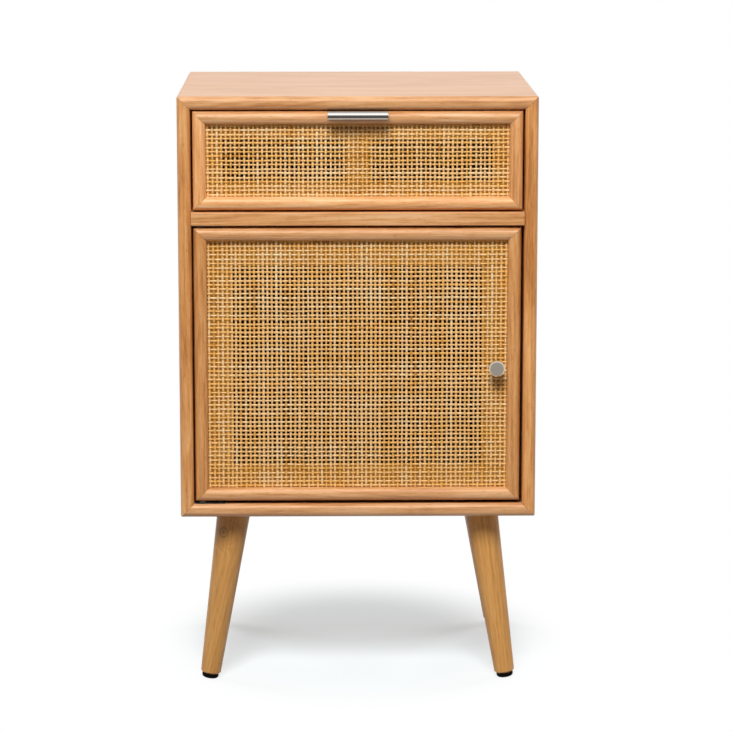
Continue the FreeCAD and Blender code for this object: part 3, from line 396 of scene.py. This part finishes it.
def metal(name, tint, rough, grit, relief=0.000004, centre=None, rim=None):
    """Builds metal with fine marks of the size grit along X, Y and Z, and as deep as relief.

    With a centre the marks are rings that were turned round it, grit is their size outwards and along Y,
    and outside the radius rim the metal is cut smoother and drawn brighter, a painted highlight.
    """
    material = new_material(name)
    tree = material.node_tree
    place = add(tree, "TexCoord").outputs["Object"]
    if centre:
        away = add(tree, "VectorMath", {0: place, 1: centre}, operation="SUBTRACT")
        parts = add(tree, "SeparateXYZ", {0: away})
        flat = add(tree, "CombineXYZ", {"X": parts.outputs["X"], "Z": parts.outputs["Z"]})
        radius = add(tree, "VectorMath", {0: flat}, operation="LENGTH")
        place = add(tree, "CombineXYZ", {"X": radius, "Y": parts.outputs["Y"]})
    size = add(tree, "VectorMath", {0: place, 1: tuple(1 / g for g in grit)}, operation="MULTIPLY")
    marks = add(tree, "TexNoise", {"Vector": size, "Scale": 1.0, "Detail": 3.0}).outputs["Fac"]
    gloss = add(tree, "MapRange", {"Value": marks, "From Min": 0.3, "From Max": 0.7,
                                   "To Min": rough * 0.8, "To Max": rough * 1.25})
    shade = add(tree, "ValToRGB", {"Fac": marks}, stops=((0.3, tuple(c * 0.86 for c in tint)), (0.7, tint)))
    shade = shade.outputs["Color"]
    if rim:
        edge = add(tree, "Math", {0: radius, 1: rim}, operation="GREATER_THAN")
        gloss = add(tree, "Mix", {"Factor": edge, "A": gloss, "B": 0.22})
        # painted highlight: the rim's colour is raised to 1.3 times the tint
        bright = [min(1.0, c * 1.3) for c in tint]
        shade = add(tree, "Mix", {"Factor": edge, "A": shade, "B": bright}, data_type="RGBA")
    bump = add(tree, "Bump", {"Strength": 0.5, "Distance": relief, "Height": marks})
    shader = add(tree, "BsdfPrincipled", {
        "Base Color": shade, "Metallic": 1.0, "Roughness": gloss, "Normal": bump,
    })
    add(tree, "OutputMaterial", {"Surface": shader})
    return material


def moulded(name, tint, rough, grit, ior):
    """Builds a moulded or pressed solid such as rubber, nylon or ferrite, with a fine skin."""
    material = new_material(name)
    tree = material.node_tree
    place = add(tree, "TexCoord").outputs["Object"]
    skin = add(tree, "TexNoise", {"Vector": place, "Scale": 1 / grit, "Detail": 3.0}).outputs["Fac"]
    shade = add(tree, "ValToRGB", {"Fac": skin}, stops=((0.25, tuple(c * 0.8 for c in tint)), (0.75, tint)))
    gloss = add(tree, "MapRange", {"Value": skin, "To Min": rough - 0.08, "To Max": rough + 0.08})
    bump = add(tree, "Bump", {"Strength": 0.4, "Distance": 0.00006, "Height": skin})
    shader = add(tree, "BsdfPrincipled", {
        "Base Color": shade.outputs["Color"], "Roughness": gloss, "IOR": ior, "Normal": bump,
    })
    add(tree, "OutputMaterial", {"Surface": shader})
    return material


def split_cane(name, look, along):
    """Builds split rattan cane whose fibres run along axis 0 or 2, with the tone and lift of each strand."""
    material = new_material(name)
    tree = material.node_tree
    place = add(tree, "TexCoord").outputs["Object"]
    strand = add(tree, "Attribute", attribute_name="strand_tone").outputs["Fac"]
    # each strand reads a slice of the noise of its own
    number = add(tree, "Math", {0: strand, 1: 61.0}, operation="MULTIPLY")
    # skin colour drifts over some 45 mm of a strand, and hardly across it
    density = [1 / 0.045 if axis == along else 1 / 0.09 for axis in range(3)]
    drift = add(tree, "VectorMath", {0: place, 1: density}, operation="MULTIPLY")
    skin = add(tree, "TexNoise", {"Vector": drift, "W": number, "Scale": 1.0, "Detail": 3.0},
               noise_dimensions="4D").outputs["Fac"]
    # fibre bundles are 12 mm long and 0.35 mm wide
    density = [1 / 0.012 if axis == along else 1 / 0.00035 for axis in range(3)]
    thin = add(tree, "VectorMath", {0: place, 1: density}, operation="MULTIPLY")
    fibre = add(tree, "TexNoise", {"Vector": thin, "Scale": 1.0, "Detail": 2.0}).outputs["Fac"]
    tone = add(tree, "Math", {0: strand, 1: 0.34, 2: -0.37}, operation="MULTIPLY_ADD")
    tone = add(tree, "Math", {0: skin, 1: 1.15, 2: tone}, operation="MULTIPLY_ADD")
    tone = add(tree, "Math", {0: fibre, 1: 0.25, 2: tone}, operation="MULTIPLY_ADD")
    shade = add(tree, "ValToRGB", {"Fac": tone}, stops=(
        (0.12, look.brown), (0.3, look.gold), (0.62, look.peach), (0.85, look.pale)))
    # painted highlight: a strand is drawn paler where it rides over the next one; painted shade, with the
    # dirt that gathers there, makes it browner where it dips under
    lift = add(tree, "Attribute", attribute_name="strand_lift").outputs["Fac"]
    dip_shade = add(tree, "MapRange", {"Value": lift, "From Min": 0.4, "From Max": -0.9,
                                 "To Min": 0.0, "To Max": 0.56})
    shade = add(tree, "Mix", {"Factor": dip_shade, "A": shade.outputs["Color"], "B": look.shadow}, data_type="RGBA")
    crossing_highlight = add(tree, "MapRange", {"Value": lift, "From Min": 0.5, "From Max": 1.0,
                                  "To Min": 0.0, "To Max": 0.22})
    shade = add(tree, "Mix", {"Factor": crossing_highlight, "A": shade, "B": look.pale}, data_type="RGBA")
    gloss = add(tree, "MapRange", {"Value": fibre, "To Min": 0.34, "To Max": 0.52})
    bump = add(tree, "Bump", {"Strength": 0.5, "Distance": 0.00008, "Height": fibre})
    shader = add(tree, "BsdfPrincipled", {
        "Base Color": shade, "Roughness": gloss, "IOR": 1.48, "Specular IOR Level": 0.3, "Normal": bump,
    })
    add(tree, "OutputMaterial", {"Surface": shader})
    return material


# Modelling by hand


def pick(piece, kind, test):
    """Selects the vertices or edges that pass a test, in edit mode."""
    bpy.ops.mesh.select_mode(type=kind)
    bpy.ops.mesh.select_all(action="DESELECT")
    mesh = bmesh.from_edit_mesh(piece.data)
    for part in {"VERT": mesh.verts, "EDGE": mesh.edges}[kind]:
        if test(part):
            part.select_set(True)
    bmesh.update_edit_mesh(piece.data)


def settle(piece, name, material, body, node):
    """Names a finished piece, gives it its material and makes it stand for a CAD node."""
    piece.name = piece.data.name = name
    piece.data.materials.clear()
    piece.data.materials.append(material)
    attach(piece, body)
    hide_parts(node)


def strand(crossings, spacing, width, thickness, rise, first):
    """Shapes one strand along X that goes over and under, over the first crossing where first is 1."""
    length = crossings * spacing
    bpy.ops.object.select_all(action="DESELECT")
    bpy.ops.mesh.primitive_cube_add(size=1, scale=(length, thickness, width))
    piece = bpy.context.object
    bpy.ops.object.transform_apply(location=False, rotation=False, scale=True)
    bpy.ops.object.mode_set(mode="EDIT")

    def lengthwise(edge):
        return abs(edge.verts[0].co.x - edge.verts[1].co.x) > spacing

    def step(vertex):
        return round((vertex.co.x + length / 2) / spacing * STEPS) % (2 * STEPS)

    # the skin side is rounded at its edges
    pick(piece, "EDGE", lambda edge: lengthwise(edge) and all(v.co.y < 0 for v in edge.verts))
    bpy.ops.mesh.bevel(offset=thickness * 0.62, segments=1, affect="EDGES")
    pick(piece, "EDGE", lengthwise)
    bpy.ops.mesh.subdivide(number_cuts=STEPS * crossings - 1)
    for height in sorted(set(HEIGHTS.values())):
        pick(piece, "VERT", lambda vertex: HEIGHTS.get(step(vertex)) == height)
        bpy.ops.transform.translate(value=(0, -height * rise * first, 0))
    bpy.ops.object.mode_set(mode="OBJECT")
    lift = piece.data.attributes.new("strand_lift", "FLOAT", "POINT")
    lift.data.foreach_set("value", [HEIGHTS.get(step(v), 0.0) * first for v in piece.data.vertices])
    return piece


def weave(look, chance, name, node, body, material, upright, start):
    """Weaves one set of strands of a cane sheet, upright or level, in the space of its CAD node."""
    low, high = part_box(node)
    width, height = high.x - low.x, high.z - low.z
    numbers = {True: round(width / look.upright_spacing), False: round(height / look.level_spacing)}
    along, across = (height, width) if upright else (width, height)
    crossings, count = numbers[not upright], numbers[upright]
    thickness = (high.y - low.y) / 2
    wide = look.upright_width if upright else look.level_width
    masters = []
    for first in (1, -1):
        masters.append(strand(crossings, along / crossings, wide, thickness, thickness / 2, first))
    copies = []
    for number in range(count):
        mesh = masters[(number + start) % 2].data.copy()
        # no strand is quite in its place, quite straight or quite as wide as the next
        slide = (number + 0.5) * across / count - across / 2 + chance.gauss(0, look.wander * 0.22)
        slide = max(-across / 2 + wide, min(across / 2 - wide, slide))
        skew = chance.gauss(0, 0.0009)
        breadth = chance.uniform(0.86, 1.16)
        place = Matrix.Translation(((low.x + high.x) / 2, (low.y + high.y) / 2, (low.z + high.z) / 2))
        if upright:
            place = place @ Matrix.Rotation(-RIGHT_ANGLE, 4, "Y")
        place = place @ Matrix.Translation((0, 0, slide)) @ Matrix.Rotation(skew, 4, "Y")
        mesh.transform(place @ Matrix.Diagonal((1, 1, breadth, 1)))
        tone = mesh.attributes.new("strand_tone", "FLOAT", "POINT")
        tone.data.foreach_set("value", [chance.random()] * len(mesh.vertices))
        copy = bpy.data.objects.new(f"{name}_{number}", mesh)
        bpy.context.collection.objects.link(copy)
        copies.append(copy)
    bpy.ops.object.select_all(action="DESELECT")
    for copy in copies:
        copy.select_set(True)
    bpy.context.view_layer.objects.active = copies[0]
    bpy.ops.object.join()
    piece = bpy.context.object
    for master in masters:
        bpy.data.objects.remove(master)
    # the whole weave drifts a little, as it does when it is pressed into its frame
    cloud = bpy.data.textures.new("drift", "CLOUDS")
    cloud.noise_scale = 0.035
    drift = piece.modifiers.new("drift", "DISPLACE")
    drift.texture = cloud
    drift.texture_coords = "LOCAL"
    drift.direction = "X" if upright else "Z"
    drift.strength = look.wander
    drift.mid_level = 0.5
    bpy.ops.object.modifier_apply(modifier="drift")
    bpy.ops.object.shade_smooth_by_angle(angle=math.radians(50))
    settle(piece, name, material, body, node)


def plane(name, size, place, material):
    """Adds a flat square that belongs to the studio."""
    bpy.ops.object.select_all(action="DESELECT")
    bpy.ops.mesh.primitive_plane_add(size=size, location=place)
    made = bpy.context.object
    made.name = name
    made.data.materials.append(material)
    return made


# Operators


class SIDETABLE_OT_boards(Operator):
    """Veneer the top, sides, bottom and divider, and give the back its plywood"""

    bl_idname = "side_table.boards"
    bl_label = "Boards"
    bl_options = {"REGISTER", "UNDO"}

    def execute(self, context):
        look = context.scene.side_table_wood
        # beech veneer, sliced and varnished: long even fibres and a low satin sheen; the top's colours are
        # the same wood drawn paler and pinker, a painted sheen
        veneer = (look.veneer_dark, look.veneer_warm, look.veneer_pale)
        # all but the top keep the warmer colour of the wood itself
        side_veneer = (look.side_dark, look.side_warm, look.side_pale)
        # the compartment's floor is drawn nearly black like the back, painted shade so that only darkness
        # shows through the cane
        skin = 0.0005
        compartment_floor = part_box("bottom_panel")[1].z - skin
        for number, (name, turn) in enumerate((
            ("top_panel", ALONG_WIDTH), ("bottom_panel", ALONG_WIDTH), ("divider_panel", ALONG_WIDTH),
            ("left_side_panel", ALONG_HEIGHT), ("right_side_panel", ALONG_HEIGHT),
        )):
            painted_shade_above = (compartment_floor, look.painted_shade_warm) if name == "bottom_panel" else None
            finish_nodes(name, material=wood(
                f"sliced beech veneer, {name}", veneer if name == "top_panel" else side_veneer, turn,
                shift=1.3 + number * 0.77, ring=look.ring * 1.8, pores=0.25, coat=0.3,
                painted_shade_above=painted_shade_above))
        # thin plywood, left unvarnished and drawn nearly black and dull with only a hint of its grain:
        # painted shade, so that only darkness shows through the cane
        stained = (look.painted_shade_dark, look.painted_shade_warm, look.painted_shade_pale)
        finish_nodes("back_panel", material=wood(
            "plywood in painted shade, back", stained, ALONG_HEIGHT, shift=0.4,
            ring=look.ring * 3, pores=0.4, coat=0.0))
        return {"FINISHED"}


class SIDETABLE_OT_mouldings(Operator):
    """Give the front trims, the divider rail and both mitred frames their solid wood"""

    bl_idname = "side_table.mouldings"
    bl_label = "Mouldings"
    bl_options = {"REGISTER", "UNDO"}

    def execute(self, context):
        look = context.scene.side_table_wood
        # solid beech, moulded round and varnished: fine straight streaks, short dark flecks, and a soft line
        # of light along the round
        solid = (look.front_dark, look.front_warm, look.front_pale)
        upright_solid = (look.upright_dark, look.upright_warm, look.upright_pale)
        # each stick's colours are scaled by a factor of its own: the top and bottom trims and the top of each
        # frame darker, the side trims and the drawer frame's sides and bottom lighter
        tones = {
            "front_trim_left": 1.06, "front_trim_right": 1.15,
            "front_trim_top": 0.92, "front_trim_bottom": 0.93,
            "drawer_frame_left": 1.22, "drawer_frame_right": 1.12,
            "drawer_frame_top": 0.9, "drawer_frame_bottom": 1.18, "door_frame_top": 0.9,
        }
        number = 0
        for group in ("front_trim", "drawer_frame", "door_frame"):
            boxes = [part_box(f"{group}_{side}") for side in SIDES]
            left, right = boxes[0][0].x, boxes[1][1].x
            bottom, top = boxes[2][0].z, boxes[3][1].z
            mitre = ((left + right) / 2, (bottom + top) / 2, (right - left) / 2, (top - bottom) / 2)
            for side in SIDES:
                number += 1
                name = f"{group}_{side}"
                upright = side in ("left", "right")
                stick = upright_solid if upright and group != "drawer_frame" else solid
                share = tones.get(name, 1.0)
                colours = [[min(1.0, c * share) for c in tone] for tone in stick]
                # varnish runs down an upright round and gathers on a level one
                finish_nodes(name, material=wood(
                    f"solid beech, {name}", colours, ALONG_HEIGHT if upright else ALONG_WIDTH,
                    shift=number * 0.83, ring=look.ring, mitre=mitre, coat=0.55 if upright else 1.0))
        finish_nodes("divider_front_rail", material=wood(
            "solid beech, divider_front_rail", solid, ALONG_WIDTH, shift=14.2, ring=look.ring))
        return {"FINISHED"}


class SIDETABLE_OT_cane(Operator):
    """Weave the cane of the drawer front and the door, strand by strand"""

    bl_idname = "side_table.cane"
    bl_label = "Cane"
    bl_options = {"REGISTER", "UNDO"}

    def execute(self, context):
        look = context.scene.side_table_cane
        # rattan, split and woven: waxy straw skin, each strand with a tone of its own, with painted shade
        # where it dips and a painted highlight where it rides over
        upright = split_cane("split rattan cane, upright", look, 2)
        level = split_cane("split rattan cane, level", look, 0)
        chance = random.Random(look.seed)
        for body in ("drawer", "door"):
            node = f"{body}_cane_panel"
            weave(look, chance, f"{body}_cane_upright", node, body, upright, True, 0)
            weave(look, chance, f"{body}_cane_level", node, body, level, False, 1)
        return {"FINISHED"}


class SIDETABLE_OT_knob_and_pull(Operator):
    """Give the door knob and the drawer pull their satin nickel"""

    bl_idname = "side_table.knob_and_pull"
    bl_label = "Knob and Pull"
    bl_options = {"REGISTER", "UNDO"}

    def execute(self, context):
        look = context.scene.side_table_metal
        low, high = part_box("door_knob")
        centre = (low + high) / 2
        bright_edge = 0.0012
        # satin nickel, turned on a lathe: fine rings that blur what the face reflects to an even warm grey,
        # and an edge cut smoother, drawn brighter as a painted highlight
        finish_nodes("door_knob", material=metal(
            "satin nickel, turned", look.nickel, 0.42, (0.00025, 0.004, 1.0), centre=tuple(centre),
            rim=(high.x - low.x) / 2 - bright_edge))
        # satin nickel, brushed lengthwise: smooth enough for one bright and one dark band along the pull
        finish_nodes("drawer_pull", material=metal(
            "satin nickel, brushed", look.pull, 0.16, (0.03, 0.00025, 0.00025), relief=0.0000001))
        return {"FINISHED"}


class SIDETABLE_OT_legs(Operator):
    """Give the turned legs their wood and the feet their rubber"""

    bl_idname = "side_table.legs"
    bl_label = "Legs and Feet"
    bl_options = {"REGISTER", "UNDO"}

    def execute(self, context):
        look = context.scene.side_table_wood
        metals = context.scene.side_table_metal
        # rubber, moulded and soot filled: matt black, because its fine skin swallows nearly all the sheen
        rubber = moulded("moulded rubber", metals.rubber, 0.7, 0.0006, 1.15)
        # the middle and the radius of each leg's knots
        knots = {
            "leg_front_left": (((-0.1530, -0.131, 0.1755), 0.0042),),
            "leg_front_right": (((0.1240, -0.131, 0.1860), 0.0024),),
            "leg_back_right": (((0.148, 0.14, 0.12), 0.004),),
        }
        for number, (depth, side) in enumerate((d, s) for d in ("front", "back") for s in ("left", "right")):
            name = f"leg_{depth}_{side}"
            lean = math.radians(90 - LEG_LEAN) * (1 if side == "left" else -1)
            # pine, turned and oiled: golden olive with a knot here and there, and hardly any gloss
            share = 1.17 if name == "leg_front_right" else 1.0
            colours = [[c * share for c in tone] for tone in (look.leg_dark, look.leg_warm, look.leg_pale)]
            finish_nodes(name, material=wood(
                f"turned pine, {name}", colours, (0.0, lean, 0.0),
                shift=3.1 + number * 1.17, ring=look.ring * 0.9, pores=0.2,
                knots=knots.get(name, ()), coat=0.05))
            finish_nodes(f"foot_pad_{depth}_{side}", material=rubber)
        return {"FINISHED"}


class SIDETABLE_OT_drawer_box(Operator):
    """Give the drawer's boards their pine, and the sheets behind the cane their plywood"""

    bl_idname = "side_table.drawer_box"
    bl_label = "Drawer Box"
    bl_options = {"REGISTER", "UNDO"}

    def execute(self, context):
        look = context.scene.side_table_wood
        # pine, planed and bare: pale straw with bands of darker latewood
        pine = (look.pine_dark, look.pine_warm, look.pine_pale)
        # plywood, rotary cut: wide wandering grain, golden brown under its stain behind the cane
        ply = (look.ply_dark, look.ply_warm, look.ply_pale)
        for number, (name, turn) in enumerate((
            ("drawer_side_left", ALONG_DEPTH), ("drawer_side_right", ALONG_DEPTH),
            ("drawer_back", ALONG_WIDTH),
        )):
            finish_nodes(name, material=wood(
                f"planed pine, {name}", pine, turn, shift=6 + number, ring=0.007, pores=0.1, coat=0.0))
        # the drawer's bottom is plywood drawn nearly black and dull like the back: painted shade, so that
        # only darkness shows through the cane
        stained = (look.painted_shade_dark, look.painted_shade_warm, look.painted_shade_pale)
        for number, (name, sheet) in enumerate((
            ("drawer_bottom", stained), ("drawer_backing", ply), ("door_backing", ply),
        )):
            finish_nodes(name, material=wood(
                f"rotary-cut plywood, {name}", sheet, ALONG_WIDTH, shift=9 + number,
                ring=0.014, pores=0.4, coat=0.0))
        # beech dowel, turned and bare: pale and even
        finish_nodes("divider_dowels", material=wood(
            "turned beech dowel", pine, ALONG_WIDTH, shift=2.2, ring=0.004, coat=0.0))
        return {"FINISHED"}


class SIDETABLE_OT_fittings(Operator):
    """Give the screws, slides, plates, catch and bushes their metal and plastic"""

    bl_idname = "side_table.fittings"
    bl_label = "Fittings"
    bl_options = {"REGISTER", "UNDO"}

    def execute(self, context):
        look = context.scene.side_table_metal
        finishes = {
            # steel, pressed and zinc plated: bluish white with a fine cloudy spangle
            "zinc_plated_steel": metal(
                "zinc-plated steel", look.zinc, 0.36, (0.0009, 0.0009, 0.0009), relief=0.00001),
            # steel, powder coated: dull black with a skin like fine orange peel, kept black so that the gap
            # under the door stays dark, painted shade
            "black_steel": moulded("powder-coated steel", look.powder, 0.7, 0.0006, 1.5),
            # chrome steel, ground and polished: small mirrors
            "bearing_steel": metal("polished bearing steel", look.bearing, 0.12, (0.002, 0.002, 0.002)),
            # nylon, moulded and dyed: dark brown with a soft gloss
            "nylon": moulded("moulded nylon", look.nylon, 0.45, 0.0008, 1.53),
            # ferrite, pressed and sintered: dull charcoal grey, grainy like slate
            "ferrite": moulded("sintered ferrite", look.ferrite, 0.6, 0.0005, 2.3),
        }
        missing = set(finishes) - {row["slot"] for row in frame["record"]["materials"]}
        if missing:
            raise RuntimeError(f"the record has no material slot named {sorted(missing)}")
        # steel, plated with black zinc: deep brownish black with a dull oily sheen, kept black so that the
        # gap beside the drawer stays dark, painted shade
        black_zinc_and_shade = metal("black zinc-plated steel", look.black_zinc_and_shade, 0.5, (0.0009, 0.0009, 0.0009))
        finish_nodes("slide_rail_left", "slide_rail_right", "slide_runner_left", "slide_runner_right",
                     material=black_zinc_and_shade)
        # what no other operator has finished still has the record's slot, which names its finish
        for name, part in frame["nodes"].items():
            for slot in part.material_slots:
                made = finishes.get(slot.material.name) if slot.link == "DATA" else None
                if made:
                    finish_nodes(name, material=made)
        return {"FINISHED"}


class SIDETABLE_OT_studio(Operator):
    """Set the pale floor, the soft lamps, the white room and the camera"""

    bl_idname = "side_table.studio"
    bl_label = "Studio"
    bl_options = {"REGISTER", "UNDO"}

    def execute(self, context):
        look = context.scene.side_table_studio
        # paper floor, matt: plain and pale, so that the soft shadow is all that shows on it
        floor_size = 60
        plane("floor", floor_size, (0.0, 0.0, 0.0), self.floor_paint(look))
        aim = Vector((0.0, 0.0, 0.36))  # the middle of the object
        # felt, charcoal grey: too deep to shine, so polished metal shows it as one dark band
        felt = self.card_paint("dark felt card", look.card, 1.0)
        card = plane("dark_card", 7.3, (0.0, -4.8, 0.004), felt)
        # nylon cloth, lit from behind: an even white, which gives varnish and polished metal their sheen
        cloth = self.card_paint("white softbox cloth", (1, 1, 1), look.softbox)
        box = plane("softbox_front", 2.4, KEY_PLACE, cloth)
        box.rotation_euler = (aim - box.location).to_track_quat("-Z", "Y").to_euler()
        # both are there for reflections alone, as the lamps are there for light alone
        for made in (card, box):
            made.visible_camera = False
            made.visible_diffuse = False
            made.visible_shadow = False
            made.visible_transmission = False

        for name, power, size, place in (
            ("key lamp", look.key_power, 1.7, KEY_PLACE),
            ("top lamp", look.top_power, 1.4, (0.0, 0.1, 2.4)),
            ("left lamp", look.side_power, 1.6, (-2.0, 1.6, 1.5)),
            ("right lamp", look.side_power, 1.6, (2.0, 1.6, 1.5)),
            ("back lamp", look.side_power, 1.6, (0.3, 2.8, 1.6)),
        ):
            bpy.ops.object.light_add(type="AREA", location=place)
            lamp = context.object
            lamp.name = name
            lamp.rotation_euler = (aim - lamp.location).to_track_quat("-Z", "Y").to_euler()
            lamp.data.shape = "DISK"
            lamp.data.size = size
            lamp.data.energy = power
            lamp.visible_camera = False
            lamp.visible_glossy = False

        world = context.scene.world or bpy.data.worlds.new("white room")
        context.scene.world = world
        world.use_nodes = True
        tree = world.node_tree
        tree.nodes.clear()
        room = add(tree, "Background", {"Color": tuple(look.room), "Strength": look.ambient})
        white = add(tree, "Background", {"Color": (1, 1, 1), "Strength": 1.0})
        both = add(tree, "MixShader", {0: seen_rays(tree), 1: room, 2: white})
        add(tree, "OutputWorld", {"Surface": both})

        bpy.ops.object.camera_add(location=look.eye, rotation=(RIGHT_ANGLE - look.tilt, 0.0, look.turn))
        camera = context.object
        camera.data.lens = look.lens
        camera.data.sensor_width = 36.0
        camera.data.clip_end = 100.0
        context.scene.camera = camera
        context.scene.view_settings.view_transform = "Standard"
        return {"FINISHED"}

    def floor_paint(self, look):
        """Matt paper that keeps the object's shadow near it and turns plain white further off."""
        material = new_material("matt paper floor")
        tree = material.node_tree
        place = add(tree, "TexCoord").outputs["Object"]
        # the shadow's patch is an oval round the legs, and fades out between 0.16 and 0.36 of its scale
        shifted = add(tree, "VectorMath", {0: place, 1: (0.0, 0.05, 0.0)}, operation="SUBTRACT")
        scaled = add(tree, "VectorMath", {0: shifted, 1: (1.35, 1.15, 0.0)}, operation="MULTIPLY")
        near = add(tree, "VectorMath", {0: scaled}, operation="LENGTH")
        far = add(tree, "MapRange", {"Value": near, "From Min": 0.16, "From Max": 0.36},
                  interpolation_type="SMOOTHSTEP")
        paper = add(tree, "BsdfDiffuse", {"Color": tuple(look.floor)})
        glow = add(tree, "Emission", {"Color": (1, 1, 1), "Strength": look.glow})
        lit = add(tree, "AddShader", {0: paper, 1: glow})
        white = add(tree, "Emission", {"Color": (1, 1, 1), "Strength": 1.0})
        shown = add(tree, "MixShader", {0: far, 1: lit, 2: white})
        bounce = add(tree, "BsdfDiffuse", {"Color": tuple(look.bounce)})
        both = add(tree, "MixShader", {0: seen_rays(tree), 1: bounce, 2: shown})
        # open from below, so that the underside can be looked at
        below = add(tree, "NewGeometry").outputs["Backfacing"]
        clear = add(tree, "BsdfTransparent")
        sheet = add(tree, "MixShader", {0: below, 1: both, 2: clear})
        add(tree, "OutputMaterial", {"Surface": sheet})
        return material

    def card_paint(self, name, tint, strength):
        """Plain cloth for a card that only reflections show, with an even glow."""
        material = new_material(name)
        tree = material.node_tree
        cloth = add(tree, "Emission", {"Color": tuple(tint), "Strength": strength})
        add(tree, "OutputMaterial", {"Surface": cloth})
        return material


class SIDETABLE_PT_sidebar(Panel):
    """Sizes, colours and pieces of the side table"""

    bl_label = "Side Table"
    bl_idname = "SIDETABLE_PT_sidebar"
    bl_space_type = "VIEW_3D"
    bl_region_type = "UI"
    bl_category = "Side Table"

    def draw(self, context):
        for group in GROUPS:
            box = self.layout.box()
            box.label(text=GROUPS[group].__doc__)
            for name in GROUPS[group].__annotations__:
                box.prop(getattr(context.scene, group), name)
        for operator in OPERATORS:
            self.layout.operator(operator.bl_idname)


GROUPS = {
    "side_table_cane": CaneSettings, "side_table_wood": WoodSettings,
    "side_table_metal": MetalSettings, "side_table_studio": StudioSettings,
}
OPERATORS = (
    SIDETABLE_OT_boards, SIDETABLE_OT_mouldings, SIDETABLE_OT_cane, SIDETABLE_OT_knob_and_pull,
    SIDETABLE_OT_legs, SIDETABLE_OT_drawer_box, SIDETABLE_OT_fittings, SIDETABLE_OT_studio,
)


def register():
    """Registers the settings, operators and panel."""
    for made in (*GROUPS.values(), *OPERATORS, SIDETABLE_PT_sidebar):
        bpy.utils.register_class(made)
    for name, group in GROUPS.items():
        setattr(bpy.types.Scene, name, PointerProperty(type=group))


def unregister():
    """Removes them again."""
    for name in GROUPS:
        delattr(bpy.types.Scene, name)
    for made in (SIDETABLE_PT_sidebar, *reversed(OPERATORS), *reversed(GROUPS.values())):
        bpy.utils.unregister_class(made)


def main():
    register()
    bpy.ops.side_table.boards()
    bpy.ops.side_table.mouldings()
    bpy.ops.side_table.cane()
    bpy.ops.side_table.knob_and_pull()
    bpy.ops.side_table.legs()
    bpy.ops.side_table.drawer_box()
    bpy.ops.side_table.fittings()
    bpy.ops.side_table.studio()


if __name__ == "__main__":
    main()
